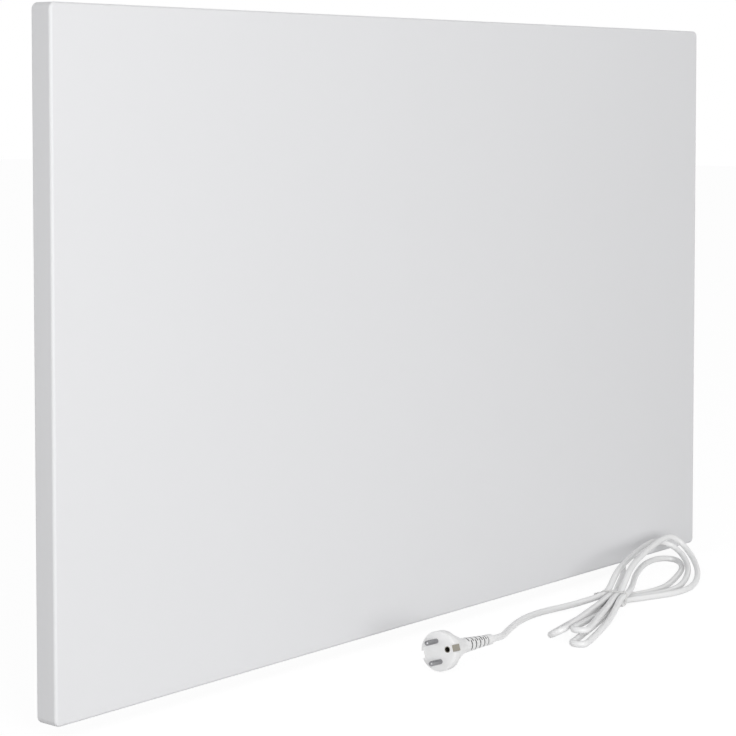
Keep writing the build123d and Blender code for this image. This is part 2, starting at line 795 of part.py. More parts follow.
with BuildPart() as gland_body:
    with BuildSketch(Plane.XY.offset(hex_bottom)):
        with Locations((cord_x, cord_y)):
            RegularPolygon(gland_hex / 2, 6, major_radius=False)
    extrude(amount=gland_hex_height)
    with BuildSketch(Plane.XY.offset(shoulder_bottom)):
        with Locations((cord_x, cord_y)):
            Circle(gland_thread / 2)
    extrude(amount=gland_outside + gland_hex_height + gland_inside)
    with BuildSketch(Plane.XY.offset(shoulder_bottom)):
        with Locations((cord_x, cord_y)):
            Circle(cord_radius + 2 * fit)
    extrude(amount=gland_outside + gland_hex_height + gland_inside, mode=Mode.SUBTRACT)
    with BuildSketch(Plane.XY.offset(shoulder_bottom)):
        with Locations((cord_x, cord_y)):
            Circle(gland_bore / 2 + fit)
    extrude(amount=gland_outside - 1.0, mode=Mode.SUBTRACT)
save(gland_body, "gland_body")

locknut_radius = box_rim - cord_y - 0.5

with BuildPart() as gland_locknut:
    with BuildSketch(Plane.XY.offset(box_bottom + box_wall)):
        with Locations((cord_x, cord_y)):
            RegularPolygon(locknut_radius, 12)
            Circle(gland_thread / 2 + fit, mode=Mode.SUBTRACT)
    extrude(amount=locknut_height)
save(gland_locknut, "gland_locknut")

with BuildPart() as gland_nut:
    with BuildSketch(upright(cord_x, cord_y)):
        with BuildLine():
            FilletPolyline((gland_thread / 2 + fit, hex_bottom), (nut_diameter / 2, hex_bottom),
                           (nut_diameter / 2, nut_bottom + 2.5), (nut_diameter / 2 - 2.5, nut_bottom),
                           (sleeve_diameter / 2 + fit, nut_bottom), (sleeve_diameter / 2 + fit, nut_bottom + 2.6),
                           (gland_thread / 2 + fit, nut_bottom + 2.6), radius=(0.3, 1, 1, 0.3, 0.3), close=False)
            Line((gland_thread / 2 + fit, nut_bottom + 2.6), (gland_thread / 2 + fit, hex_bottom))
        make_face()
    revolve(axis=Axis((cord_x, cord_y, 0), (0, 0, 1)))
save(gland_nut, "gland_nut")

with BuildPart() as cord_sleeve:
    with BuildSketch(upright(cord_x, cord_y)):
        with BuildLine():
            Polyline((cord_radius + fit, shoulder_top - 0.2), (gland_bore / 2, shoulder_top - 0.2),
                     (gland_bore / 2, shoulder_bottom), (sleeve_diameter / 2, shoulder_bottom),
                     (sleeve_diameter / 2, nut_bottom - 1), (sleeve_end / 2, sleeve_bottom),
                     (cord_radius + fit, sleeve_bottom), close=True)
        make_face()
    revolve(axis=Axis((cord_x, cord_y, 0), (0, 0, 1)))
save(cord_sleeve, "cord_sleeve")

# ---------------------------------------------------------------- wiring

with BuildPart() as cord_tail:
    with BuildSketch(Plane.XY.offset(sleeve_bottom)):
        with Locations((cord_x, cord_y)):
            Circle(cord_radius)
    extrude(amount=jacket_top - sleeve_bottom)
save(cord_tail, "cord_tail")

block_bottom = block_z - block_height / 2
block_head = block_z + block_height / 2
grommet_end = flange_plane - grommet_lip


def core_route(way):
    """A core of the lead, from the end of the jacket into the terminal block."""
    start_x = cord_x + (way - cord_x) * 0.215
    return [(start_x, cord_y, jacket_top), (start_x, cord_y, jacket_top + 3),
            (between(start_x, way, 0.5), cord_y - 2, jacket_top + 6),
            (way, cord_y, block_bottom - 3), (way, cord_y, block_bottom + block_entry)]


def through_grommet(way, aside):
    """From the terminal block through the grommet, towards the wiring space."""
    x = cord_x + aside
    return [(way, cord_y, block_head - block_entry), (way, cord_y, grommet_z - 5.5),
            (x, cord_y - 4, grommet_z), (x, grommet_end - 1.6, grommet_z)]


wire_reach = wire_diameter / 2
tab_face = tab_sheet / 2

live_route = through_grommet(ways[0], -wire_aside) + [
    (cord_x - 10, wire_plane, grommet_z + 8),
    (cord_x - 30, wire_plane, grommet_z + 30),
    (cord_x - 62, wire_plane, grommet_z + 44),
    (cutout_x + 18, wire_plane, grommet_z + 52),
    (cutout_x, wire_plane, cutouts[0].Z - cutout_tabs - 24),
    (cutout_x, wire_plane, cutouts[0].Z - cutout_tabs - tab_face),
]
link_route = [
    (cutout_x, wire_plane, cutouts[0].Z + cutout_tabs + tab_face),
    (cutout_x, wire_plane, cutouts[0].Z + 24),
    (cutout_x - 8, wire_plane, cutouts[0].Z / 3),
    (cutout_x - 8, wire_plane, cutouts[1].Z / 3),
    (cutout_x, wire_plane, cutouts[1].Z - 24),
    (cutout_x, wire_plane, cutouts[1].Z - cutout_tabs - tab_face),
]
return_route = [
    (cutout_x, wire_plane, cutouts[1].Z + cutout_tabs + tab_face),
    (cutout_x, wire_plane, cutouts[1].Z + 30),
    (cutout_x + 14, wire_plane, cutouts[1].Z + 58),
    (cutout_x + 50, wire_plane, cutouts[1].Z + 92),
    (cutout_x + 92, wire_plane, terminals[1].Z - 60),
    (terminal_x, wire_plane, terminals[1].Z - 28),
    (terminal_x, wire_plane, terminals[1].Z - tab_face),
]
neutral_route = through_grommet(ways[2], wire_aside) + [
    (cord_x + 14, wire_plane, grommet_z + 1),
    (cord_x + 27, wire_plane, grommet_z - 14),
    (cord_x + 29, wire_plane, grommet_z - 44),
    (cord_x + 20, wire_plane, grommet_z - 68),
    (terminal_x, wire_plane, terminals[0].Z + 14),
    (terminal_x, wire_plane, terminals[0].Z + tab_face),
]
earth_route = [
    (cord_x, cord_y, block_head - block_entry),
    (cord_x, cord_y, grommet_z - 5),
    (cord_x, cord_y - 5, grommet_z),
    (cord_x, flange_plane + 1.5, grommet_z),
    (cord_x, earth_plane, grommet_z + 5),
    (cord_x, earth_plane, earth_point.Z - 9),
]


def tube_path(route):
    """Straight runs joined by arcs as large as the runs allow."""
    return FilletPolyline(*route, radius=soft_radii(route))


with BuildPart() as cord_cores:
    for way in ways:
        with BuildLine() as core_path:
            tube_path(core_route(way))
        with BuildSketch(Plane(origin=core_path.line @ 0, z_dir=core_path.line % 0)):
            Circle(core_diameter / 2)
        sweep(path=core_path.wire())
save(cord_cores, "cord_cores")

wires = {
    "live_lead": live_route,
    "link_lead": link_route,
    "return_lead": return_route,
    "neutral_lead": neutral_route,
    "earth_lead": earth_route,
}
for name, route in wires.items():
    with BuildPart() as wire:
        with BuildLine() as wire_path:
            tube_path(route)
        with BuildSketch(Plane(origin=wire_path.line @ 0, z_dir=wire_path.line % 0)):
            Circle(wire_diameter / 2)
        sweep(path=wire_path.wire())
    save(wire, name)

lug_sheet = 0.8
stud_diameter = 4.0
stud_length = 7.5
nut_flats = 7.0
nut_thick = 3.2

with BuildPart() as earth_stud:
    with BuildSketch(facing_front(flange_plane)):
        with Locations((earth_point.X, earth_point.Z)):
            Circle(stud_diameter / 2)
    extrude(amount=stud_length)
save(earth_stud, "earth_stud")

with BuildPart() as earth_lug:
    with BuildSketch(facing_front(flange_plane)):
        with Locations((earth_point.X, earth_point.Z)):
            Circle(stud_diameter)
        with Locations((earth_point.X, earth_point.Z - 6)):
            Rectangle(4, 6)
        with Locations((earth_point.X, earth_point.Z)):
            Circle(stud_diameter / 2 + fit, mode=Mode.SUBTRACT)
    extrude(amount=lug_sheet)
    with BuildSketch(Plane.XY.offset(earth_point.Z - 9)):
        with Locations((earth_point.X, earth_plane)):
            Circle(wire_diameter / 2 + 0.4)
    extrude(amount=3.5)
save(earth_lug, "earth_lug")

with BuildPart() as earth_nut:
    with BuildSketch(facing_front(flange_plane - lug_sheet)):
        with Locations((earth_point.X, earth_point.Z)):
            RegularPolygon(nut_flats / 2, 6, major_radius=False)
            Circle(stud_diameter / 2 + fit, mode=Mode.SUBTRACT)
    extrude(amount=nut_thick)
save(earth_nut, "earth_nut")

# ---------------------------------------------------------------- the lead outside the panel


def biarc(start, corner, end):
    """Two tangent arcs that leave start towards the corner and reach end coming from it."""
    leave = (corner - start).normalized()
    arrive = (end - corner).normalized()
    chord = end - start
    slack = 1 - leave.dot(arrive)
    along = chord.dot(leave + arrive)
    handle = (sqrt(along**2 + 2 * slack * chord.dot(chord)) - along) / (2 * slack)
    first, second = start + leave * handle, end - arrive * handle
    joint = (first + second) / 2
    TangentArc(start, joint, tangent=leave)
    TangentArc(joint, end, tangent=second - first)


def middles(corners):
    """The middle of each run of a polyline."""
    return [(here + following) / 2 for here, following in zip(corners, corners[1:])]


for name, route in (("cord_lead", lead_route + [tuple(hank_start)]),
                    ("cord_plug_lead", [tuple(hank_end)] + plug_lead_route)):
    with BuildPart() as stretch:
        with BuildLine() as stretch_path:
            tube_path(route)
        with BuildSketch(Plane(origin=stretch_path.line @ 0, z_dir=stretch_path.line % 0)):
            Circle(cord_radius)
        sweep(path=stretch_path.wire())
    save(stretch, name)
    run_length = stretch_path.wire().length
    print(name, "length", round(run_length), "radii", [round(r) for r in soft_radii(route)],
          "volume over section times length", round(stretch.part.volume / (run_length * 3.14159 * cord_radius**2), 4))

straight_start = hank_start + (hank_corners[0] - hank_start).normalized() * cord_diameter
straight_end = hank_end + (hank_corners[-1] - hank_end).normalized() * cord_diameter
hank_nodes = [straight_start] + middles(hank_corners) + [straight_end]

with BuildPart() as cord_hank:
    with BuildLine() as hank_path:
        Line(hank_start, straight_start)
        for start, corner, end in zip(hank_nodes, hank_corners, hank_nodes[1:]):
            biarc(start, corner, end)
        Line(straight_end, hank_end)
    with BuildSketch(Plane(origin=hank_path.line @ 0, z_dir=hank_path.line % 0)):
        Circle(cord_radius)
    sweep(path=hank_path.wire())
save(cord_hank, "cord_hank")

# least gap of the hank to itself, measured on points along its middle line
hank_wire = hank_path.wire()
hank_length = hank_wire.length
sample_step = 2.0
samples = [hank_wire.position_at(i * sample_step / hank_length) for i in range(int(hank_length / sample_step))]
apart = int(4 * cord_diameter / sample_step)
least, nearest = min(((samples[i] - samples[j]).length, i) for i in range(len(samples))
                     for j in range(i + apart, len(samples)))
radii = [edge.radius for edge in hank_wire.edges() if edge.geom_type == GeomType.CIRCLE]
print("cord_hank length", round(hank_length), "least gap to itself", round(least - cord_diameter, 2),
      "at", [round(place) for place in samples[nearest]],
      "tightest arc", round(min(radii), 1),
      "volume over section times length", round(cord_hank.part.volume / (hank_length * 3.14159 * cord_radius**2), 4))

tie_plane = Plane(origin=hank_point(-tie_width / 2, 0, 0), x_dir=hank_point(0, 1, 0) - hank_point(0, 0, 0),
                  z_dir=hank_point(1, 0, 0) - hank_point(0, 0, 0))
tie_lanes = [(1.5 * lane, upper), (-1.5 * lane, upper), (-lane, lower), (lane, lower)]

with BuildPart() as cord_tie:
    with BuildSketch(tie_plane):
        with Locations(*[(side, height + waist_lift) for side, height in tie_lanes]):
            Circle(cord_radius + tie_clearance + tie_sheet)
        make_hull()
        with BuildSketch(tie_plane, mode=Mode.SUBTRACT):
            with Locations(*[(side, height + waist_lift) for side, height in tie_lanes]):
                Circle(cord_radius + tie_clearance)
            make_hull()
    extrude(amount=tie_width)
save(cord_tie, "cord_tie")

# ---------------------------------------------------------------- plug

rise = (Vector(0, 0, 1) - plug_axis * plug_axis.Z).normalized()
aside = plug_axis.cross(rise)
pin_line = rise * cos(radians(plug_roll)) - aside * sin(radians(plug_roll))
plug_plane = Plane(origin=plug_face, x_dir=pin_line, z_dir=plug_axis)
turning_plane = Plane(origin=plug_face, x_dir=plug_axis, z_dir=plug_axis.cross(pin_line))
turning_axis = Axis(tuple(plug_face), tuple(plug_axis))
plug_radius = plug_diameter / 2
clip_places = [(0, side * (plug_radius - clip_recess / 2)) for side in (-1, 1)]

with BuildPart() as plug_body:
    with BuildSketch(plug_plane):
        Circle(plug_radius - 0.4)
    with BuildSketch(plug_plane.offset(plug_rim - 1)):
        Circle(plug_radius)
    loft()
    with BuildSketch(plug_plane.offset(plug_rim - 1)):
        Circle(plug_radius)
    with BuildSketch(plug_plane.offset(0.55 * plug_body_length)):
        Ellipse(0.40 * plug_diameter, 0.32 * plug_diameter)
    with BuildSketch(plug_plane.offset(plug_body_length)):
        Circle(plug_neck / 2)
    loft()
    with BuildSketch(plug_plane):
        with Locations(*clip_places):
            Rectangle(clip_width + 1, clip_recess + 0.2)
    extrude(amount=plug_rim + 4, mode=Mode.SUBTRACT)
    with BuildSketch(plug_plane):
        with Locations((0, socket_offset)):
            Circle(socket_bore / 2 + socket_wall + fit)
    extrude(amount=socket_depth, mode=Mode.SUBTRACT)
save(plug_body, "plug_body")

with BuildPart() as plug_pins:
    with BuildSketch(plug_plane):
        with Locations((-pin_spacing / 2, 0), (pin_spacing / 2, 0)):
            Circle(pin_diameter / 2)
    extrude(amount=-pin_length)
    fillet(plug_pins.faces().sort_by(Axis(tuple(plug_face), tuple(plug_axis)))[:2].edges(), 1.2)
save(plug_pins, "plug_pins")

with BuildPart() as plug_earth_socket:
    with BuildSketch(plug_plane):
        with Locations((0, socket_offset)):
            Circle(socket_bore / 2 + socket_wall)
            Circle(socket_bore / 2, mode=Mode.SUBTRACT)
    extrude(amount=socket_depth)
save(plug_earth_socket, "plug_earth_socket")

with BuildPart() as plug_earth_clips:
    with BuildSketch(plug_plane.offset(1)):
        with Locations(*[(0, side * (plug_radius - clip_recess + clip_sheet / 2)) for side in (-1, 1)]):
            Rectangle(clip_width, clip_sheet)
    extrude(amount=plug_rim + 2)
save(plug_earth_clips, "plug_earth_clips")

relief_length = plug_length - plug_body_length
relief_pitch = relief_length * 0.78 / relief_slots

with BuildPart() as plug_strain_relief:
    with BuildSketch(turning_plane):
        with BuildLine():
            Polyline((plug_body_length, 0), (plug_body_length, plug_neck / 2 - 0.6),
                     (plug_length, relief_end / 2), (plug_length, 0), close=True)
        make_face()
    revolve(axis=turning_axis)
    for i in range(relief_slots):
        slot_start = plug_body_length + relief_pitch * (i + 0.6)
        slot_turn = relief_turn + 90 * (i % 2)
        with BuildSketch(plug_plane.offset(slot_start)):
            with Locations(Location((0, 0), slot_turn)):
                with Locations((plug_neck / 2 + relief_core / 2, 0), (-plug_neck / 2 - relief_core / 2, 0)):
                    Rectangle(plug_neck - relief_core, plug_neck)
        extrude(amount=relief_slot, mode=Mode.SUBTRACT)
save(plug_strain_relief, "plug_strain_relief")
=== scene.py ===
"""Looks of a flat infrared heating panel with its mains lead tied in a hank in front of it."""

import json
import math

import bmesh
import bpy
from bpy.props import FloatProperty, FloatVectorProperty, IntProperty, PointerProperty
from mathutils import Matrix, Vector


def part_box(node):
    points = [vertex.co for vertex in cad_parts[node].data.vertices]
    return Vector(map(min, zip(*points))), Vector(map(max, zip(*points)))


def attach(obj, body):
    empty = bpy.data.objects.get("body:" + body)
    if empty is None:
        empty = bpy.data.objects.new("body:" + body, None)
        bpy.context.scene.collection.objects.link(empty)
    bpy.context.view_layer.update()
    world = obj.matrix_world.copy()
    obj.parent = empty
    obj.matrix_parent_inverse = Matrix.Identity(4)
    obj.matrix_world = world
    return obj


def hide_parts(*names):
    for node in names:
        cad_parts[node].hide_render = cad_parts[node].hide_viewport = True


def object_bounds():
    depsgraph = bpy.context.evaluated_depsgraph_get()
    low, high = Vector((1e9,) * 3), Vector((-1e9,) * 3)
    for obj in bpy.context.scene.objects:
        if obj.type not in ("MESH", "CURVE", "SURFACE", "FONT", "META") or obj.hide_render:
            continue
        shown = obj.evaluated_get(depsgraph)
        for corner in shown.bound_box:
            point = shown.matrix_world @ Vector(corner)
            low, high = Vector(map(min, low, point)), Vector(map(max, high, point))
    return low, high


bl_info = {
    "name": "Infrared panel heater",
    "version": (1, 0, 0),
    "blender": (4, 5, 0),
    "location": "3D View > Sidebar > Panel heater",
    "description": "Models and finishes the visible pieces of a wall-hung infrared heating panel",
    "category": "Object",
}

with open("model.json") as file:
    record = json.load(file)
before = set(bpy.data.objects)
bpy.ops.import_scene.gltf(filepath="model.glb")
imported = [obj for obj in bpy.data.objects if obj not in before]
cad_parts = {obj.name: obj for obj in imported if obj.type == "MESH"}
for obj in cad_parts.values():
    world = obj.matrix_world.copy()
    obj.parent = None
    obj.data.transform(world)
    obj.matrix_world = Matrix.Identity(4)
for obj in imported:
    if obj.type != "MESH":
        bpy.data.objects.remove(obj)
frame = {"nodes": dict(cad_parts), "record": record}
CAD_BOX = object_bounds()
NODES = frame["nodes"]

MM = 0.001
SURFACE = CAD_BOX[0].z  # what the lead lies on


# ---------------------------------------------------------------- sizes and colours


class PanelSheetSizes(bpy.types.PropertyGroup):
    fold_radius: FloatProperty(name="Fold radius", description="Outer radius of the front sheet's folds",
                               default=0.0028, min=0.0005, max=0.006, unit="LENGTH")
    corner_radius: FloatProperty(name="Corner radius",
                                 description="Radius of the panel's four corners, seen from the front",
                                 default=0.006, min=0.002, max=0.02, unit="LENGTH")
    sheet: FloatProperty(name="Sheet", description="Thickness of the front sheet",
                         default=0.001, min=0.0005, max=0.002, unit="LENGTH")
    flange: FloatProperty(name="Flange", description="Width of the folded rim behind the panel",
                          default=0.014, min=0.006, max=0.03, unit="LENGTH")
    enamel: FloatVectorProperty(name="Enamel colour", description="Colour of the white powder coat",
                                subtype="COLOR", default=(0.800, 0.802, 0.815), min=0, max=1)


class LeadSizes(bpy.types.PropertyGroup):
    diameter: FloatProperty(name="Lead diameter", description="Outer diameter of the mains lead",
                            default=0.0065, min=0.004, max=0.01, unit="LENGTH")
    sheath: FloatVectorProperty(name="Sheath colour", description="Colour of the lead's white sheath",
                                subtype="COLOR", default=(0.90, 0.90, 0.90), min=0, max=1)


class PlugSizes(bpy.types.PropertyGroup):
    face: FloatProperty(name="Plug face", description="Diameter of the plug's face",
                        default=0.037, min=0.03, max=0.04, unit="LENGTH")
    pin: FloatProperty(name="Pin diameter", description="Diameter of a contact pin",
                       default=0.0048, min=0.004, max=0.005, unit="LENGTH")
    slits: IntProperty(name="Slits", description="Slits in each row of the plug's bend sleeve",
                       default=5, min=3, max=8)
    shell: FloatVectorProperty(name="Shell colour", description="Colour of the moulded plug",
                               subtype="COLOR", default=(0.90, 0.90, 0.90), min=0, max=1)


# ---------------------------------------------------------------- mesh helpers


def new_piece(name, bm, smooth_angle=35):
    """A finished object at the origin from a bmesh, with faces outwards and sharp edges kept sharp."""
    bmesh.ops.recalc_face_normals(bm, faces=bm.faces)
    mesh = bpy.data.meshes.new(name)
    bm.to_mesh(mesh)
    bm.free()
    piece = bpy.data.objects.new(name, mesh)
    bpy.context.scene.collection.objects.link(piece)
    mesh.shade_smooth()
    mesh.set_sharp_from_angle(angle=math.radians(smooth_angle))
    return piece


def lofted(stations, placing, segments=64):
    """A closed body of elliptical sections: (distance, half height, half width), placed by a matrix."""
    bm = bmesh.new()
    ring = bmesh.ops.create_circle(bm, cap_ends=True, segments=segments, radius=1)["verts"]
    first = stations[0]
    bmesh.ops.transform(bm, matrix=Matrix.Diagonal((first[1], first[2], 1, 1)), verts=ring)
    bmesh.ops.translate(bm, vec=(0, 0, first[0]), verts=ring)
    edges = [edge for edge in bm.edges]
    for before, here in zip(stations, stations[1:]):
        grown = bmesh.ops.extrude_edge_only(bm, edges=edges)["geom"]
        ring = [item for item in grown if isinstance(item, bmesh.types.BMVert)]
        edges = [item for item in grown if isinstance(item, bmesh.types.BMEdge) and
                 item.verts[0] in ring and item.verts[1] in ring]
        bmesh.ops.scale(bm, vec=(here[1] / before[1], here[2] / before[2], 1), verts=ring)
        bmesh.ops.translate(bm, vec=(0, 0, here[0] - before[0]), verts=ring)
    bmesh.ops.holes_fill(bm, edges=[edge for edge in bm.edges if edge.is_boundary], sides=0)
    bmesh.ops.transform(bm, matrix=placing, verts=bm.verts)
    return bm


def carve(piece, cutters):
    """Takes the cutters out of a piece, and removes them."""
    for cutter in cutters:
        cut = piece.modifiers.new("cut", "BOOLEAN")
        cut.operation = "DIFFERENCE"
        cut.solver = "EXACT"
        cut.object = cutter
    bpy.context.view_layer.update()
    seen = piece.evaluated_get(bpy.context.evaluated_depsgraph_get())
    mesh = bpy.data.meshes.new_from_object(seen)
    piece.modifiers.clear()
    old = piece.data
    piece.data = mesh
    bpy.data.meshes.remove(old)
    for cutter in cutters:
        bpy.data.objects.remove(cutter)
    piece.data.shade_smooth()
    piece.data.set_sharp_from_angle(angle=math.radians(32))


# ---------------------------------------------------------------- shader groups


def shade(nodes, kind, **values):
    """Adds a node and sets its plain values."""
    node = nodes.new(kind)
    for key, value in values.items():
        if key in node.inputs:
            node.inputs[key].default_value = value
        else:
            setattr(node, key, value)
    return node


def group_with(name, inputs, outputs):
    """An empty node group with the named sockets, or None where it exists."""
    if name in bpy.data.node_groups:
        return bpy.data.node_groups[name], None, None
    group = bpy.data.node_groups.new(name, "ShaderNodeTree")
    for label, kind, value in inputs:
        socket = group.interface.new_socket(label, in_out="INPUT", socket_type=kind)
        if value is not None:
            socket.default_value = value
    for label, kind in outputs:
        group.interface.new_socket(label, in_out="OUTPUT", socket_type=kind)
    return group, group.nodes.new("NodeGroupInput"), group.nodes.new("NodeGroupOutput")


def uneven_tone():
    """Large soft changes of tone, as a coat or sheath has: a colour and its mask."""
    group, given, out = group_with(
        "Uneven tone",
        [("Vector", "NodeSocketVector", None), ("Colour", "NodeSocketColor", (0.8, 0.8, 0.8, 1)),
         ("Scale", "NodeSocketFloat", 4.0), ("Amount", "NodeSocketFloat", 0.03)],
        [("Colour", "NodeSocketColor"), ("Mask", "NodeSocketFloat")])
    if given is None:
        return group
    nodes, link = group.nodes, group.links.new
    cloud = shade(nodes, "ShaderNodeTexNoise", Detail=4.0, Roughness=0.55)
    link(given.outputs["Vector"], cloud.inputs["Vector"])
    link(given.outputs["Scale"], cloud.inputs["Scale"])
    span = shade(nodes, "ShaderNodeMapRange")
    link(cloud.outputs["Fac"], span.inputs["Value"])
    low = shade(nodes, "ShaderNodeMath", operation="SUBTRACT")
    low.inputs[0].default_value = 1.0
    link(given.outputs["Amount"], low.inputs[1])
    span.inputs["From Min"].default_value = 0.3
    span.inputs["From Max"].default_value = 0.7
    link(low.outputs[0], span.inputs["To Min"])
    span.inputs["To Max"].default_value = 1.0
    tint = shade(nodes, "ShaderNodeMix", data_type="RGBA", blend_type="MULTIPLY")
    tint.inputs[0].default_value = 1.0
    link(given.outputs["Colour"], tint.inputs[6])
    link(span.outputs["Result"], tint.inputs[7])
    link(tint.outputs[2], out.inputs["Colour"])
    link(cloud.outputs["Fac"], out.inputs["Mask"])
    return group


def fine_relief():
    """Height of a fine skin: moulded grain, orange peel or cast texture."""
    group, given, out = group_with(
        "Fine relief",
        [("Vector", "NodeSocketVector", None), ("Scale", "NodeSocketFloat", 900.0),
         ("Coarse share", "NodeSocketFloat", 0.4)],
        [("Height", "NodeSocketFloat")])
    if given is None:
        return group
    nodes, link = group.nodes, group.links.new
    fine = shade(nodes, "ShaderNodeTexNoise", Detail=2.0)
    coarse = shade(nodes, "ShaderNodeTexNoise", Detail=1.0)
    quarter = shade(nodes, "ShaderNodeMath", operation="MULTIPLY")
    quarter.inputs[1].default_value = 0.25
    link(given.outputs["Scale"], fine.inputs["Scale"])
    link(given.outputs["Scale"], quarter.inputs[0])
    link(quarter.outputs[0], coarse.inputs["Scale"])
    for noise in (fine, coarse):
        link(given.outputs["Vector"], noise.inputs["Vector"])
    both = shade(nodes, "ShaderNodeMix", data_type="FLOAT")
    link(given.outputs["Coarse share"], both.inputs[0])
    link(fine.outputs["Fac"], both.inputs[2])
    link(coarse.outputs["Fac"], both.inputs[3])
    link(both.outputs[0], out.inputs["Height"])
    return group


def drawn_lines():
    """Fine parallel lines of drawn or rolled metal: a roughness and a height."""
    group, given, out = group_with(
        "Drawn lines",
        [("Vector", "NodeSocketVector", None), ("Stretch", "NodeSocketVector", (1.0, 30.0, 30.0)),
         ("Scale", "NodeSocketFloat", 120.0), ("Roughness", "NodeSocketFloat", 0.35)],
        [("Roughness", "NodeSocketFloat"), ("Height", "NodeSocketFloat")])
    if given is None:
        return group
    nodes, link = group.nodes, group.links.new
    long_way = shade(nodes, "ShaderNodeVectorMath", operation="MULTIPLY")
    link(given.outputs["Vector"], long_way.inputs[0])
    link(given.outputs["Stretch"], long_way.inputs[1])
    lines = shade(nodes, "ShaderNodeTexNoise", Detail=3.0, Roughness=0.6)
    link(long_way.outputs[0], lines.inputs["Vector"])
    link(given.outputs["Scale"], lines.inputs["Scale"])
    swing = shade(nodes, "ShaderNodeMath", operation="MULTIPLY_ADD")
    link(lines.outputs["Fac"], swing.inputs[0])
    swing.inputs[1].default_value = 0.25
    less = shade(nodes, "ShaderNodeMath", operation="SUBTRACT")
    link(given.outputs["Roughness"], less.inputs[0])
    less.inputs[1].default_value = 0.125
    link(less.outputs[0], swing.inputs[2])
    link(swing.outputs[0], out.inputs["Roughness"])
    link(lines.outputs["Fac"], out.inputs["Height"])
    return group


def spangle():
    """Zinc crystals of galvanised sheet: a colour and a roughness."""
    group, given, out = group_with(
        "Zinc spangle",
        [("Vector", "NodeSocketVector", None), ("Colour", "NodeSocketColor", (0.6, 0.6, 0.6, 1)),
         ("Scale", "NodeSocketFloat", 70.0), ("Contrast", "NodeSocketFloat", 0.16)],
        [("Colour", "NodeSocketColor"), ("Roughness", "NodeSocketFloat")])
    if given is None:
        return group
    nodes, link = group.nodes, group.links.new
    crystals = shade(nodes, "ShaderNodeTexVoronoi")
    link(given.outputs["Vector"], crystals.inputs["Vector"])
    link(given.outputs["Scale"], crystals.inputs["Scale"])
    grey = shade(nodes, "ShaderNodeSeparateColor")
    link(crystals.outputs["Color"], grey.inputs[0])
    span = shade(nodes, "ShaderNodeMapRange")
    link(grey.outputs[0], span.inputs["Value"])
    low = shade(nodes, "ShaderNodeMath", operation="SUBTRACT")
    low.inputs[0].default_value = 1.0
    link(given.outputs["Contrast"], low.inputs[1])
    link(low.outputs[0], span.inputs["To Min"])
    tint = shade(nodes, "ShaderNodeMix", data_type="RGBA", blend_type="MULTIPLY")
    tint.inputs[0].default_value = 1.0
    link(given.outputs["Colour"], tint.inputs[6])
    link(span.outputs["Result"], tint.inputs[7])
    link(tint.outputs[2], out.inputs["Colour"])
    rough = shade(nodes, "ShaderNodeMapRange")
    link(grey.outputs[1], rough.inputs["Value"])
    rough.inputs["To Min"].default_value = 0.34
    rough.inputs["To Max"].default_value = 0.52
    link(rough.outputs["Result"], out.inputs["Roughness"])
    return group


# ---------------------------------------------------------------- finishes


def begin_finish(name):
    """A new material with its shader and Object coordinates."""
    material = bpy.data.materials.new(name)
    material.use_nodes = True
    nodes = material.node_tree.nodes
    shader = nodes["Principled BSDF"]
    place = nodes.new("ShaderNodeTexCoord")
    return material, nodes, material.node_tree.links.new, shader, place.outputs["Object"]


def place_group(nodes, group, link, vector, **values):
    holder = nodes.new("ShaderNodeGroup")
    holder.node_tree = group
    link(vector, holder.inputs["Vector"])
    for key, value in values.items():
        holder.inputs[key.replace("_", " ")].default_value = value
    return holder


def bump(nodes, link, height, shader, strength, distance):
    rise = nodes.new("ShaderNodeBump")
    rise.inputs["Strength"].default_value = strength
    rise.inputs["Distance"].default_value = distance
    link(height, rise.inputs["Height"])
    link(rise.outputs["Normal"], shader.inputs["Normal"])


def plastic_finish(name, colour, roughness, grain, depth, tone=0.04, tone_scale=20.0, coat=0.0,
                   coat_roughness=0.1):
    """A moulded or extruded plastic, rubber or sheath with its skin."""
    material, nodes, link, shader, where = begin_finish(name)
    cloud = place_group(nodes, uneven_tone(), link, where, Colour=(*colour, 1), Scale=tone_scale, Amount=tone)
    link(cloud.outputs["Colour"], shader.inputs["Base Color"])
    skin = place_group(nodes, fine_relief(), link, where, Scale=grain, Coarse_share=0.45)
    bump(nodes, link, skin.outputs["Height"], shader, 0.35, depth)
    rough = nodes.new("ShaderNodeMapRange")
    link(skin.outputs["Height"], rough.inputs["Value"])
    rough.inputs["From Min"].default_value = 0.3
    rough.inputs["From Max"].default_value = 0.7
    rough.inputs["To Min"].default_value = roughness - 0.05
    rough.inputs["To Max"].default_value = roughness + 0.05
    link(rough.outputs["Result"], shader.inputs["Roughness"])
    shader.inputs["Coat Weight"].default_value = coat
    shader.inputs["Coat Roughness"].default_value = coat_roughness
    return material


def sleeve_finish(colour):
    """The plug's plastic on its bend sleeve, with painted shade down in the slits."""
    material = plastic_finish("sleeve_white", colour, 0.32, 1100.0, 0.00005, 0.03, 30.0, 0.25, 0.16)
    nodes, link = material.node_tree.nodes, material.node_tree.links.new
    surface = nodes["Principled BSDF"].inputs["Base Color"]
    # painted shade: the slit_depth attribute mixes near black into the plastic's colour, darkest at the
    # slits' floors
    depth = nodes.new("ShaderNodeAttribute")
    depth.attribute_name = "slit_depth"
    shaded = nodes.new("ShaderNodeMix")
    shaded.data_type = "RGBA"
    link(depth.outputs["Fac"], shaded.inputs[0])
    link(surface.links[0].from_socket, shaded.inputs[6])
    shaded.inputs[7].default_value = (0.10, 0.10, 0.10, 1)
    link(shaded.outputs[2], surface)
    return material


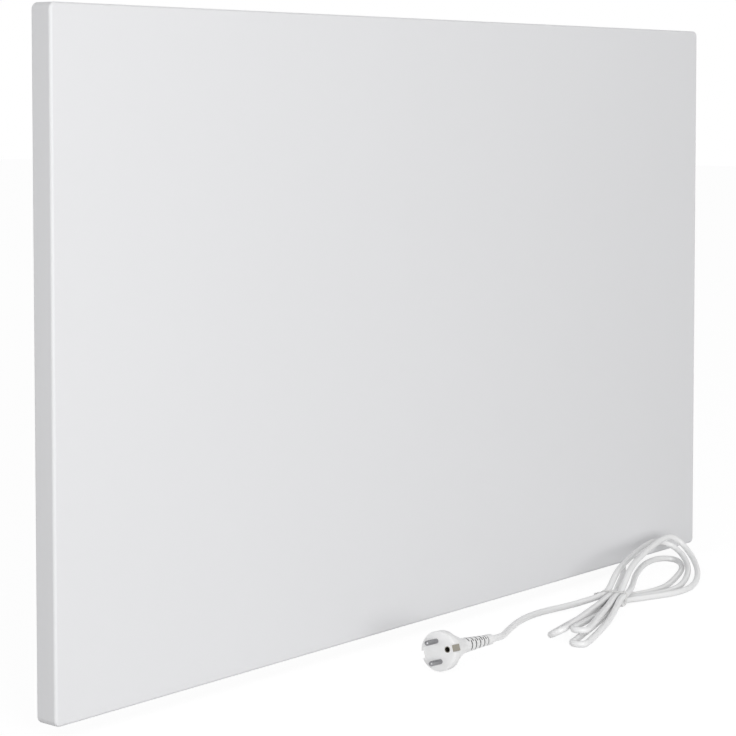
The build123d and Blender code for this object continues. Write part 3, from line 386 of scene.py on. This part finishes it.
def metal_finish(name, colour, roughness, stretch, scale=120.0, depth=0.00003):
    """Rolled, drawn or turned metal with its fine lines."""
    material, nodes, link, shader, where = begin_finish(name)
    lines = place_group(nodes, drawn_lines(), link, where, Stretch=stretch, Scale=scale, Roughness=roughness)
    cloud = place_group(nodes, uneven_tone(), link, where, Colour=(*colour, 1), Scale=60.0, Amount=0.10)
    link(cloud.outputs["Colour"], shader.inputs["Base Color"])
    link(lines.outputs["Roughness"], shader.inputs["Roughness"])
    shader.inputs["Metallic"].default_value = 1.0
    bump(nodes, link, lines.outputs["Height"], shader, 0.3, depth)
    return material


def enamel_finish(colour):
    """White powder coat: a faint orange peel under a satin skin."""
    material, nodes, link, shader, where = begin_finish("white_enamel")
    cloud = place_group(nodes, uneven_tone(), link, where, Colour=(*colour, 1), Scale=1.6, Amount=0.012)
    link(cloud.outputs["Colour"], shader.inputs["Base Color"])
    peel = place_group(nodes, fine_relief(), link, where, Scale=420.0, Coarse_share=0.55)
    bump(nodes, link, peel.outputs["Height"], shader, 0.12, 0.00008)
    rough = nodes.new("ShaderNodeMapRange")
    link(peel.outputs["Height"], rough.inputs["Value"])
    rough.inputs["To Min"].default_value = 0.50
    rough.inputs["To Max"].default_value = 0.60
    link(rough.outputs["Result"], shader.inputs["Roughness"])
    shader.inputs["Specular IOR Level"].default_value = 0.35
    return material


def galvanised_finish():
    """Zinc-coated sheet with its crystals."""
    material, nodes, link, shader, where = begin_finish("galvanised_steel")
    zinc = place_group(nodes, spangle(), link, where, Colour=(0.62, 0.635, 0.65, 1), Scale=85.0,
                       Contrast=0.18)
    link(zinc.outputs["Colour"], shader.inputs["Base Color"])
    link(zinc.outputs["Roughness"], shader.inputs["Roughness"])
    shader.inputs["Metallic"].default_value = 0.85
    skin = place_group(nodes, fine_relief(), link, where, Scale=600.0, Coarse_share=0.5)
    bump(nodes, link, skin.outputs["Height"], shader, 0.15, 0.00005)
    return material


def mica_finish():
    """Pressed mica flakes."""
    material, nodes, link, shader, where = begin_finish("mica")
    flakes = shade(nodes, "ShaderNodeTexVoronoi", Scale=260.0)
    link(where, flakes.inputs["Vector"])
    grey = shade(nodes, "ShaderNodeSeparateColor")
    link(flakes.outputs["Color"], grey.inputs[0])
    tones = shade(nodes, "ShaderNodeValToRGB")
    tones.color_ramp.elements[0].color = (0.34, 0.28, 0.20, 1)
    tones.color_ramp.elements[1].color = (0.58, 0.52, 0.42, 1)
    link(grey.outputs[0], tones.inputs["Fac"])
    link(tones.outputs["Color"], shader.inputs["Base Color"])
    shader.inputs["Roughness"].default_value = 0.35
    bump(nodes, link, grey.outputs[1], shader, 0.2, 0.0001)
    return material


def fibre_finish():
    """Matted mineral fibre."""
    material, nodes, link, shader, where = begin_finish("mineral_wool")
    strands = shade(nodes, "ShaderNodeTexNoise", Scale=180.0, Detail=8.0, Roughness=0.7, Distortion=1.2)
    link(where, strands.inputs["Vector"])
    tones = shade(nodes, "ShaderNodeValToRGB")
    tones.color_ramp.elements[0].color = (0.46, 0.42, 0.28, 1)
    tones.color_ramp.elements[1].color = (0.80, 0.76, 0.62, 1)
    link(strands.outputs["Fac"], tones.inputs["Fac"])
    link(tones.outputs["Color"], shader.inputs["Base Color"])
    shader.inputs["Roughness"].default_value = 0.95
    shader.inputs["Sheen Weight"].default_value = 0.2
    bump(nodes, link, strands.outputs["Fac"], shader, 0.8, 0.0008)
    return material


def earth_wire_finish():
    """Green insulation with its yellow stripe, by the side of the wire."""
    material, nodes, link, shader, where = begin_finish("wire_green")
    axes = shade(nodes, "ShaderNodeSeparateXYZ")
    link(where, axes.inputs[0])
    side = shade(nodes, "ShaderNodeMath", operation="GREATER_THAN")
    link(axes.outputs["X"], side.inputs[0])
    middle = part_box("earth_lead")
    side.inputs[1].default_value = (middle[0].x + middle[1].x) / 2
    pair = shade(nodes, "ShaderNodeMix", data_type="RGBA")
    link(side.outputs[0], pair.inputs[0])
    pair.inputs[6].default_value = (0.10, 0.36, 0.07, 1)
    pair.inputs[7].default_value = (0.80, 0.62, 0.05, 1)
    link(pair.outputs[2], shader.inputs["Base Color"])
    skin = place_group(nodes, fine_relief(), link, where, Scale=1500.0, Coarse_share=0.3)
    bump(nodes, link, skin.outputs["Height"], shader, 0.2, 0.00003)
    shader.inputs["Roughness"].default_value = 0.42
    return material


def core_finish():
    """Three cores: brown, green with yellow, and blue, by their place across the cable."""
    material, nodes, link, shader, where = begin_finish("core_insulation")
    axes = shade(nodes, "ShaderNodeSeparateXYZ")
    link(where, axes.inputs[0])
    low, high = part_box("cord_cores")
    across = shade(nodes, "ShaderNodeMapRange")
    link(axes.outputs["X"], across.inputs["Value"])
    across.inputs["From Min"].default_value = low.x
    across.inputs["From Max"].default_value = high.x
    tones = shade(nodes, "ShaderNodeValToRGB")
    tones.color_ramp.interpolation = "CONSTANT"
    tones.color_ramp.elements[0].color = (0.20, 0.09, 0.04, 1)
    middle = tones.color_ramp.elements[1]
    middle.position, middle.color = 0.42, (0.30, 0.55, 0.08, 1)
    last = tones.color_ramp.elements.new(0.58)
    last.color = (0.03, 0.14, 0.50, 1)
    link(across.outputs["Result"], tones.inputs["Fac"])
    link(tones.outputs["Color"], shader.inputs["Base Color"])
    skin = place_group(nodes, fine_relief(), link, where, Scale=1500.0, Coarse_share=0.3)
    bump(nodes, link, skin.outputs["Height"], shader, 0.2, 0.00003)
    shader.inputs["Roughness"].default_value = 0.40
    return material


FINISHES = {}


def dress(piece, finish):
    """Gives a piece one finish and its slot's name."""
    piece.data.materials.clear()
    piece.data.materials.append(FINISHES[finish])
    return piece


class HEATER_OT_finishes(bpy.types.Operator):
    """Makes the materials and puts them on the CAD pieces that are shown as they are"""

    bl_idname = "heater.finishes"
    bl_label = "Finishes"

    def execute(self, context):
        scene = context.scene
        sheet, lead, plug = scene.heater_sheet, scene.heater_lead, scene.heater_plug
        FINISHES.update({
            "white_enamel": enamel_finish(sheet.enamel),
            "galvanised_steel": galvanised_finish(),
            "zinc_screws": metal_finish("zinc_screws", (0.66, 0.68, 0.70), 0.30, (8.0, 1.0, 8.0), 300.0),
            "mica": mica_finish(),
            "heating_alloy": metal_finish("heating_alloy", (0.46, 0.43, 0.40), 0.42, (1.0, 1.0, 25.0)),
            "aluminium_foil": metal_finish("aluminium_foil", (0.82, 0.82, 0.83), 0.22, (2.0, 2.0, 20.0), 60.0,
                                           0.0001),
            "mineral_wool": fibre_finish(),
            "tinned_brass": metal_finish("tinned_brass", (0.72, 0.68, 0.58), 0.32, (6.0, 1.0, 6.0), 400.0),
            "cutout_can": metal_finish("cutout_can", (0.70, 0.70, 0.70), 0.36, (6.0, 1.0, 6.0), 300.0),
            "rivet_aluminium": metal_finish("rivet_aluminium", (0.75, 0.75, 0.76), 0.40, (6.0, 1.0, 6.0),
                                            300.0),
            "box_plastic": plastic_finish("box_plastic", (0.76, 0.76, 0.75), 0.48, 900.0, 0.00012),
            "grey_rubber": plastic_finish("grey_rubber", (0.045, 0.045, 0.048), 0.66, 700.0, 0.0001, 0.15),
            "block_plastic": plastic_finish("block_plastic", (0.74, 0.73, 0.66), 0.40, 900.0, 0.00008),
            "cord_white": plastic_finish("cord_white", lead.sheath, 0.34, 1400.0, 0.00006, 0.03, 40.0, 0.35,
                                         0.18),
            "core_insulation": core_finish(),
            "wire_brown": plastic_finish("wire_brown", (0.13, 0.055, 0.025), 0.45, 1500.0, 0.00004, 0.15),
            "wire_blue": plastic_finish("wire_blue", (0.02, 0.10, 0.42), 0.45, 1500.0, 0.00004, 0.10),
            "wire_green": earth_wire_finish(),
            "tie_plastic": plastic_finish("tie_plastic", (0.80, 0.80, 0.79), 0.42, 1500.0, 0.00005),
            "sleeve_white": sleeve_finish(plug.shell),
            "plug_white": plastic_finish("plug_white", plug.shell, 0.32, 1100.0, 0.00005, 0.03, 30.0, 0.25,
                                         0.16),
            "nickel_pins": metal_finish("nickel_pins", (0.30, 0.30, 0.31), 0.34, (30.0, 1.0, 1.0), 500.0,
                                        0.00002),
            "earth_contact": metal_finish("earth_contact", (0.36, 0.34, 0.29), 0.38, (10.0, 1.0, 10.0),
                                          300.0),
        })
        for part in frame["record"]["subparts"]:
            dress(NODES[part["node"]], part["material_slot"])
        return {"FINISHED"}


# ---------------------------------------------------------------- panel


class HEATER_OT_front_sheet(bpy.types.Operator):
    """Models the white front sheet: one pressed pan with soft folds and a flange behind"""

    bl_idname = "heater.front_sheet"
    bl_label = "Front sheet"

    def execute(self, context):
        sizes = context.scene.heater_sheet
        low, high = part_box("front_pan")
        bm = bmesh.new()
        bmesh.ops.create_cube(bm, size=1)
        middle, reach = (low + high) / 2, high - low
        bmesh.ops.transform(bm, matrix=Matrix.Translation(middle) @ Matrix.Diagonal((*reach, 1)),
                            verts=bm.verts)
        upright = [edge for edge in bm.edges
                   if abs((edge.verts[0].co - edge.verts[1].co).y) > 0.9 * (high.y - low.y)]
        bmesh.ops.bevel(bm, geom=upright, offset=sizes.corner_radius, offset_type="OFFSET", segments=8,
                        profile=0.5, affect="EDGES", material=-1)
        for y, radius in ((low.y, sizes.fold_radius), (high.y, 0.7 * sizes.fold_radius)):
            rim = [edge for edge in bm.edges if all(abs(corner.co.y - y) < 1e-6 for corner in edge.verts)]
            bmesh.ops.bevel(bm, geom=rim, offset=radius, offset_type="OFFSET", segments=6, profile=0.5,
                            affect="EDGES", material=-1)
        rear = [face for face in bm.faces if face.normal.y > 0.999 and face.calc_area() > 0.1]
        bmesh.ops.inset_region(bm, faces=rear, thickness=sizes.flange, depth=0)
        bmesh.ops.delete(bm, geom=[face for face in bm.faces
                                   if face.normal.y > 0.999 and face.calc_area() > 0.1],
                         context="FACES")
        bmesh.ops.recalc_face_normals(bm, faces=bm.faces)
        piece = new_piece("front_sheet", bm, 60)
        wall = piece.modifiers.new("sheet thickness", "SOLIDIFY")
        wall.thickness = sizes.sheet
        wall.offset = -1
        dress(piece, "white_enamel")
        even = piece.modifiers.new("even shading", "WEIGHTED_NORMAL")
        even.keep_sharp = True
        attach(piece, "root")
        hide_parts("front_pan")
        return {"FINISHED"}


# ---------------------------------------------------------------- mains lead

# from the gland's sleeve down behind the panel, under its edge and forward to the hank, in millimetres
CORD_RADIUS = 3.25
FLOOR = -310.0
LEAD_ROUTE = [
    (448, -17.25, -259.4),
    (448, -17.25, -279.4),
    (438, -17.25, -296.5),
    (420.7, -17.25, FLOOR + CORD_RADIUS),
    (395, -24, FLOOR + CORD_RADIUS),
    (364, -46, FLOOR + CORD_RADIUS),
    (332, -68, FLOOR + CORD_RADIUS),
    (296, -87, FLOOR + CORD_RADIUS),
    (258, -108, FLOOR + CORD_RADIUS + 2.2),
]
PLUG_FACE = Vector((-125, -163, FLOOR + 19.4))
PLUG_ENTRY = Vector((-27, -150, FLOOR + 10))
PLUG_AXIS = (PLUG_ENTRY - PLUG_FACE).normalized()
PLUG_LEAD_ROUTE = [
    (158, -115, FLOOR + CORD_RADIUS + 1.2),
    (122, -105, FLOOR + CORD_RADIUS),
    (84, -108, FLOOR + CORD_RADIUS),
    (46, -121, FLOOR + CORD_RADIUS),
    (12, -137, FLOOR + CORD_RADIUS + 1.2),
    tuple(PLUG_ENTRY + PLUG_AXIS * 20),
    tuple(PLUG_ENTRY),
]

# the hank: three loops to the left and three to the right of its waist, drawn in at a tie
WAIST = Vector((202, -141, FLOOR))
HANK_ANGLE = math.radians(14)
LANE = 7.2
WAIST_HALF = 11.0
WAIST_LIFT = 1.4
LOWER = CORD_RADIUS
UPPER = CORD_RADIUS + LANE
OPENING_START = 45.0
OPENING_END = 92.0
LOOP_END = 15.0
TIE_WIDTH = 3.0


def hank_point(along, across, height):
    """A point of the hank's own frame in the object's frame, in millimetres."""
    cos, sin = math.cos(HANK_ANGLE), math.sin(HANK_ANGLE)
    return tuple(WAIST + Vector((along * cos - across * sin, along * sin + across * cos, height)))


def share(start, end, part):
    return start + (end - start) * part


def left_loop(reach, near, near_height, far, far_height, lane_in, lane_out):
    """Out along the near side from an upper lane of the waist, and back along the far side to a lower one."""
    return [
        (-WAIST_HALF, lane_in, UPPER + WAIST_LIFT),
        (-OPENING_START, share(lane_in, near, 0.27), share(UPPER, near_height, 0.5)),
        (-OPENING_END, share(lane_in, near, 0.60), near_height),
        (-(reach - LOOP_END), near, near_height),
        (-reach, near, near_height),
        (-reach, far, far_height),
        (-(reach - LOOP_END), far, far_height),
        (-OPENING_END, share(lane_out, far, 0.60), share(LOWER, far_height, 0.4)),
        (-OPENING_START, share(lane_out, far, 0.27), LOWER),
        (-WAIST_HALF, lane_out, LOWER + WAIST_LIFT),
    ]


def right_loop(reach, near, far, lean, end_height, lane_in, lane_out):
    """Out on the surface from a lower lane of the waist, round, and back leaning up to an upper lane."""
    return [
        (WAIST_HALF, lane_in, LOWER + WAIST_LIFT),
        (0.16 * reach, share(lane_in, near, 0.27), LOWER),
        (0.38 * reach, share(lane_in, near, 0.95), LOWER),
        (0.64 * reach, share(lane_in, near, 0.84), LOWER),
        (0.89 * reach, 0.50 * near, share(LOWER, end_height, 0.16)),
        (1.01 * reach, 0.10 * near + 0.22 * far, share(LOWER, end_height, 0.62)),
        (0.945 * reach, 0.85 * far, end_height),
        (0.76 * reach, far, lean),
        (0.48 * reach, share(lane_out, far, 0.69), share(UPPER, lean, 0.92)),
        (0.22 * reach, share(lane_out, far, 0.22), share(UPPER, lean, 0.85)),
        (WAIST_HALF, lane_out, UPPER + WAIST_LIFT),
    ]


def hank_route():
    """The hank's route: six loops, each as the lead was laid."""
    corners = [(1.6 * WAIST_HALF, 0.5 * LANE, UPPER + WAIST_LIFT)]
    corners += left_loop(161, -3.2, UPPER, 10.8, LOWER, 0.5 * LANE, LANE)
    corners += right_loop(219.5, -26.8, 23.7, 10.9, 9.9, LANE, -1.5 * LANE)
    corners += left_loop(180, -33, LOWER, -19, LOWER, -1.5 * LANE, -LANE)
    corners += right_loop(226.5, -53.5, 10.4, 35.5, 36, -LANE, -0.5 * LANE)
    corners += left_loop(155, -24.8, UPPER, -10.5, UPPER, -0.5 * LANE, 0)
    corners += right_loop(218, -40.8, 25.4, 29.5, 31.5, 0, 1.5 * LANE)
    corners += [(-WAIST_HALF, 1.5 * LANE, UPPER + WAIST_LIFT)]
    return [hank_point(*corner) for corner in corners]


class HEATER_OT_mains_lead(bpy.types.Operator):
    """Lays the mains lead: out of the gland, under the panel, through the tied hank and on to the plug"""

    bl_idname = "heater.mains_lead"
    bl_label = "Mains lead"

    def execute(self, context):
        sizes = context.scene.heater_lead
        route = [Vector(point) * MM for point in LEAD_ROUTE + hank_route() + PLUG_LEAD_ROUTE]
        line = bpy.data.curves.new("mains_lead", "CURVE")
        line.dimensions = "3D"
        spline = line.splines.new("NURBS")
        spline.points.add(len(route) - 1)
        for point, place in zip(spline.points, route):
            point.co = (*place, 1)
        spline.order_u = 3
        spline.use_endpoint_u = True
        spline.resolution_u = 10
        line.resolution_u = 10
        line.render_resolution_u = 10
        line.bevel_depth = sizes.diameter / 2
        line.bevel_resolution = 5
        line.use_fill_caps = True
        line.materials.append(FINISHES["cord_white"])
        piece = bpy.data.objects.new("mains_lead", line)
        context.scene.collection.objects.link(piece)
        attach(piece, "root")
        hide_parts("cord_lead", "cord_hank", "cord_plug_lead")
        return {"FINISHED"}


class HEATER_OT_hank_tie(bpy.types.Operator):
    """Models the thin twist tie round the hank's waist, with its two twisted ends"""

    bl_idname = "heater.hank_tie"
    bl_label = "Hank tie"

    def execute(self, context):
        along = Vector(hank_point(1, 0, 0)) - Vector(hank_point(0, 0, 0))
        placing = placed(Vector(hank_point(0, 0, (LOWER + UPPER) / 2 + WAIST_LIFT)), Vector((0, 0, 1)), along)
        half_width, half_height = 1.5 * LANE + 4.2, LANE / 2 + 4.2
        bm = bmesh.new()
        bmesh.ops.create_grid(bm, x_segments=1, y_segments=1, size=1)
        bmesh.ops.scale(bm, vec=(half_height, half_width, 1), verts=bm.verts)
        for corner in bm.verts:
            if corner.co.x < 0:
                corner.co.y *= 0.84
        bmesh.ops.bevel(bm, geom=list(bm.verts), offset=4.0, offset_type="OFFSET", segments=8, profile=0.5,
                        affect="VERTICES", material=-1)
        bmesh.ops.delete(bm, geom=list(bm.faces), context="FACES_ONLY")
        grown = bmesh.ops.extrude_edge_only(bm, edges=list(bm.edges))["geom"]
        bmesh.ops.translate(bm, vec=(0, 0, -TIE_WIDTH / 2), verts=bm.verts)
        bmesh.ops.translate(bm, vec=(0, 0, TIE_WIDTH),
                            verts=[item for item in grown if isinstance(item, bmesh.types.BMVert)])
        bmesh.ops.recalc_face_normals(bm, faces=bm.faces)
        bmesh.ops.solidify(bm, geom=list(bm.faces), thickness=0.7)
        # its twisted ends, laid along the near side of the bundle
        twist = Matrix.Rotation(math.radians(40), 3, "Y")
        for lean in (-1, 1):
            ring = bmesh.ops.create_circle(bm, cap_ends=True, segments=4, radius=1.0)["verts"]
            bmesh.ops.scale(bm, vec=(1, 0.5, 1), verts=ring)
            bmesh.ops.rotate(bm, cent=(0, 0, 0), matrix=Matrix.Rotation(math.radians(90), 3, "X"), verts=ring)
            bmesh.ops.translate(bm, vec=(half_height - 3.0, -half_width - 0.1, 0.3 * lean), verts=ring)
            edges = list({edge for corner in ring for edge in corner.link_edges})
            for step in range(9):
                grown = bmesh.ops.extrude_edge_only(bm, edges=edges)["geom"]
                ring = [item for item in grown if isinstance(item, bmesh.types.BMVert)]
                edges = [item for item in grown if isinstance(item, bmesh.types.BMEdge) and
                         item.verts[0] in ring and item.verts[1] in ring]
                middle = sum((corner.co for corner in ring), Vector()) / len(ring)
                bmesh.ops.rotate(bm, cent=middle, matrix=twist, verts=ring)
                bmesh.ops.translate(bm, vec=(-0.25, -0.75, 0.14 * lean), verts=ring)
            bmesh.ops.contextual_create(bm, geom=edges)
        bmesh.ops.transform(bm, matrix=placing, verts=bm.verts)
        piece = new_piece("hank_tie", bm)
        dress(piece, "tie_plastic")
        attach(piece, "root")
        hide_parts("cord_tie")
        return {"FINISHED"}


# ---------------------------------------------------------------- plug

PLUG_ROLL = math.radians(17)
PLUG_LENGTH = (PLUG_ENTRY - PLUG_FACE).length
BODY_LENGTH = 42.0


def placed(origin, across, along):
    """A frame in the object's metres whose millimetre Z runs along an axis and X across it."""
    turn = Matrix((across, along.cross(across), along)).transposed().to_4x4()
    return Matrix.Translation(origin * MM) @ turn @ Matrix.Scale(MM, 4)


def plug_placing():
    """The plug's frame: Z runs from its face to the lead, X along the line of its pins."""
    rise = (Vector((0, 0, 1)) - PLUG_AXIS * PLUG_AXIS.z).normalized()
    pin_line = rise * math.cos(PLUG_ROLL) - PLUG_AXIS.cross(rise) * math.sin(PLUG_ROLL)
    return placed(PLUG_FACE, pin_line, PLUG_AXIS)


def cutter(kind, centre, size, turn=0.0):
    """A box or rod in the plug's frame, in millimetres, for carving."""
    bm = bmesh.new()
    if kind == "rod":
        bmesh.ops.create_cone(bm, cap_ends=True, segments=32, radius1=size[0] / 2, radius2=size[0] / 2,
                              depth=size[2])
    else:
        bmesh.ops.create_cube(bm, size=1)
        bmesh.ops.scale(bm, vec=size, verts=bm.verts)
    bmesh.ops.translate(bm, vec=centre, verts=bm.verts)
    bmesh.ops.rotate(bm, cent=(0, 0, 0), matrix=Matrix.Rotation(turn, 3, "Z"), verts=bm.verts)
    bmesh.ops.transform(bm, matrix=plug_placing(), verts=bm.verts)
    return new_piece("cutter", bm)


class HEATER_OT_plug_shell(bpy.types.Operator):
    """Models the plug's moulded shell with its face, earth hole and side slots"""

    bl_idname = "heater.plug_shell"
    bl_label = "Plug shell"

    def execute(self, context):
        r = context.scene.heater_plug.face / 2 / MM
        bm = lofted([(0, r - 0.7, r - 0.7), (0.25, r - 0.25, r - 0.25), (0.8, r, r), (9.4, r, r),
                     (10.0, r - 0.3, r - 0.3), (10.4, r - 0.9, r - 0.9), (13, r - 1.9, r - 2.4),
                     (17, r - 3.0, r - 4.6), (22, r - 4.2, r - 6.6), (28, r - 6.4, r - 8.2),
                     (34, r - 8.6, r - 9.6), (38, r - 10.1, r - 10.5), (41, r - 10.9, r - 11.0),
                     (BODY_LENGTH, r - 11.3, r - 11.3)], plug_placing())
        piece = new_piece("plug_shell", bm)
        cutters = [cutter("rod", (0, 10, 7), (5.9, 5.9, 20))]
        cutters += [cutter("box", (0, side * (r - 1.6), 6.4), (7.0, 3.6, 15)) for side in (-1, 1)]
        carve(piece, cutters)
        dress(piece, "plug_white")
        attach(piece, "root")
        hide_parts("plug_body")
        return {"FINISHED"}


class HEATER_OT_plug_bend_sleeve(bpy.types.Operator):
    """Models the tapered bend sleeve behind the plug, with its staggered slits"""

    bl_idname = "heater.plug_bend_sleeve"
    bl_label = "Plug bend sleeve"

    def execute(self, context):
        slits = context.scene.heater_plug.slits
        length = PLUG_LENGTH - BODY_LENGTH
        thick, thin = 7.3, 5.0
        bm = lofted([(BODY_LENGTH - 0.5, thick, thick), (BODY_LENGTH + 2, thick, thick),
                     (BODY_LENGTH + 0.86 * length, thin, thin), (BODY_LENGTH + 0.88 * length, 5.3, 5.3),
                     (PLUG_LENGTH - 1, 5.2, 5.2), (PLUG_LENGTH - 0.2, 4.6, 4.6), (PLUG_LENGTH, 4.2, 4.2)],
                    plug_placing())
        piece = new_piece("plug_bend_sleeve", bm)
        pitch = length * 0.76 / (2 * slits)
        cutters = []
        for i in range(2 * slits):
            along = BODY_LENGTH + pitch * (i + 1.4)
            turn = math.radians(28 + 74 * (i % 2))
            for side in (-1, 1):
                cutters.append(cutter("box", (side * (4.1 + 5), 0, along), (11.4, 9, 1.9), turn))
        carve(piece, cutters)
        # how far each face lies below the sleeve's outer surface; the sleeve's material turns this into
        # painted shade in the slits
        slit_depth = piece.data.attributes.new("slit_depth", "FLOAT", "FACE")
        to_plug = plug_placing().inverted()
        for face, value in zip(piece.data.polygons, slit_depth.data):
            place = to_plug @ face.center
            if BODY_LENGTH + 2.5 < place.z < BODY_LENGTH + 0.85 * length:
                outside = share(thick, thin, (place.z - BODY_LENGTH - 2) / (0.86 * length - 2))
                value.value = min(1.0, max(0.0, outside - place.xy.length - 0.15))
        dress(piece, "sleeve_white")
        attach(piece, "root")
        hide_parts("plug_strain_relief")
        return {"FINISHED"}


class HEATER_OT_plug_pins(bpy.types.Operator):
    """Models the two round contact pins with their rounded tips"""

    bl_idname = "heater.plug_pins"
    bl_label = "Plug pins"

    def execute(self, context):
        half = context.scene.heater_plug.pin / 2 / MM
        whole = bmesh.new()
        for side in (-1, 1):
            pin = lofted([(0.5, half, half), (-16.6, half, half), (-17.8, half - 0.35, half - 0.35),
                          (-18.6, half - 0.9, half - 0.9), (-19.0, half - 1.6, half - 1.6)],
                         plug_placing() @ Matrix.Translation((side * 9.5, 0, 0)), 32)
            mesh = bpy.data.meshes.new("pin")
            pin.to_mesh(mesh)
            pin.free()
            whole.from_mesh(mesh)
            bpy.data.meshes.remove(mesh)
        piece = new_piece("plug_contact_pins", whole)
        dress(piece, "nickel_pins")
        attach(piece, "root")
        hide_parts("plug_pins")
        return {"FINISHED"}


# ---------------------------------------------------------------- stage


def floor_material():
    """White to the camera, with the object's soft shadow; a plain pale floor to everything else."""
    material = bpy.data.materials.new("pale_floor")
    material.use_nodes = True
    nodes, link = material.node_tree.nodes, material.node_tree.links.new
    plain = nodes["Principled BSDF"]
    plain.inputs["Base Color"].default_value = (0.62, 0.62, 0.62, 1)
    plain.inputs["Roughness"].default_value = 0.9
    plain.inputs["Specular IOR Level"].default_value = 0.0
    bright = nodes.new("ShaderNodeEmission")
    bright.inputs["Strength"].default_value = 1.22
    seen = nodes.new("ShaderNodeLightPath")
    either = shade(nodes, "ShaderNodeMath", operation="MAXIMUM")
    link(seen.outputs["Is Camera Ray"], either.inputs[0])
    link(seen.outputs["Is Glossy Ray"], either.inputs[1])
    third = shade(nodes, "ShaderNodeMath", operation="MAXIMUM")
    link(either.outputs[0], third.inputs[0])
    link(seen.outputs["Is Transmission Ray"], third.inputs[1])
    part = shade(nodes, "ShaderNodeMath", operation="MULTIPLY")
    link(third.outputs[0], part.inputs[0])
    part.inputs[1].default_value = 0.74
    both = nodes.new("ShaderNodeMixShader")
    link(part.outputs[0], both.inputs[0])
    link(plain.outputs[0], both.inputs[1])
    link(bright.outputs[0], both.inputs[2])
    link(both.outputs[0], nodes["Material Output"].inputs["Surface"])
    return material


def soft_lamp(name, place, target, size, power):
    """A square studio lamp that looks at a point."""
    data = bpy.data.lights.new(name, "AREA")
    data.shape = "SQUARE"
    data.size = size
    data.energy = power
    lamp = bpy.data.objects.new(name, data)
    lamp.location = place
    lamp.rotation_euler = (Vector(target) - Vector(place)).to_track_quat("-Z", "Y").to_euler()
    bpy.context.scene.collection.objects.link(lamp)


class HEATER_OT_stage(bpy.types.Operator):
    """Makes the pale floor, the soft lamps, the white surroundings and the camera"""

    bl_idname = "heater.stage"
    bl_label = "Stage"

    def execute(self, context):
        bm = bmesh.new()
        bmesh.ops.create_grid(bm, x_segments=4, y_segments=4, size=14)
        bmesh.ops.translate(bm, vec=(0, 0, SURFACE - 0.0002), verts=bm.verts)
        floor = new_piece("studio_floor", bm)
        floor.data.materials.append(floor_material())

        world = bpy.data.worlds.new("studio")
        context.scene.world = world
        world.use_nodes = True
        nodes, link = world.node_tree.nodes, world.node_tree.links.new
        light = nodes["Background"]
        light.inputs["Color"].default_value = (1, 1, 1, 1)
        light.inputs["Strength"].default_value = 0.48
        white = nodes.new("ShaderNodeBackground")
        white.inputs["Color"].default_value = (1, 1, 1, 1)
        white.inputs["Strength"].default_value = 1.0
        seen = nodes.new("ShaderNodeLightPath")
        either = shade(nodes, "ShaderNodeMath", operation="MAXIMUM")
        link(seen.outputs["Is Camera Ray"], either.inputs[0])
        link(seen.outputs["Is Glossy Ray"], either.inputs[1])
        third = shade(nodes, "ShaderNodeMath", operation="MAXIMUM")
        link(either.outputs[0], third.inputs[0])
        link(seen.outputs["Is Transmission Ray"], third.inputs[1])
        pick = nodes.new("ShaderNodeMixShader")
        link(third.outputs[0], pick.inputs[0])
        link(light.outputs[0], pick.inputs[1])
        link(white.outputs[0], pick.inputs[2])
        link(pick.outputs[0], nodes["World Output"].inputs["Surface"])

        soft_lamp("key_lamp", (-1.7, -3.6, 0.45), (0, 0, 0), 2.2, 86)
        soft_lamp("low_lamp", (-2.2, -1.3, -0.05), (0, 0, -0.15), 1.0, 11)

        camera = bpy.data.cameras.new("camera")
        camera.sensor_width = 36
        camera.lens = 106.73
        camera.shift_y = -0.2
        camera.clip_start = 0.05
        camera.clip_end = 60
        viewer = bpy.data.objects.new("camera", camera)
        viewer.location = (-1.69990, -1.39566, 0.21830)
        viewer.rotation_euler = (math.pi / 2 - 0.05448, 0, -0.87409)
        context.scene.collection.objects.link(viewer)
        context.scene.camera = viewer
        context.scene.view_settings.view_transform = "Standard"
        return {"FINISHED"}


# ---------------------------------------------------------------- add-on


class HEATER_PT_sidebar(bpy.types.Panel):
    """Lists the heater's pieces and their sizes"""

    bl_idname = "HEATER_PT_sidebar"
    bl_label = "Panel heater"
    bl_space_type = "VIEW_3D"
    bl_region_type = "UI"
    bl_category = "Panel heater"

    def draw(self, context):
        for operator in STEPS:
            self.layout.operator(operator.bl_idname)
        for group in GROUPS:
            sizes = getattr(context.scene, group)
            column = self.layout.column()
            for name in sizes.__annotations__:
                column.prop(sizes, name)


GROUPS = {"heater_sheet": PanelSheetSizes, "heater_lead": LeadSizes, "heater_plug": PlugSizes}
STEPS = [HEATER_OT_finishes, HEATER_OT_front_sheet, HEATER_OT_plug_shell, HEATER_OT_plug_bend_sleeve,
         HEATER_OT_plug_pins, HEATER_OT_hank_tie, HEATER_OT_mains_lead, HEATER_OT_stage]


def register():
    for group in GROUPS.values():
        bpy.utils.register_class(group)
    for name, group in GROUPS.items():
        setattr(bpy.types.Scene, name, PointerProperty(type=group))
    for operator in STEPS:
        bpy.utils.register_class(operator)
    bpy.utils.register_class(HEATER_PT_sidebar)


def unregister():
    bpy.utils.unregister_class(HEATER_PT_sidebar)
    for operator in reversed(STEPS):
        bpy.utils.unregister_class(operator)
    for name in GROUPS:
        delattr(bpy.types.Scene, name)
    for group in reversed(list(GROUPS.values())):
        bpy.utils.unregister_class(group)


def main():
    register()
    for operator in STEPS:
        family, name = operator.bl_idname.split(".")
        getattr(getattr(bpy.ops, family), name)()


if __name__ == "__main__":
    main()
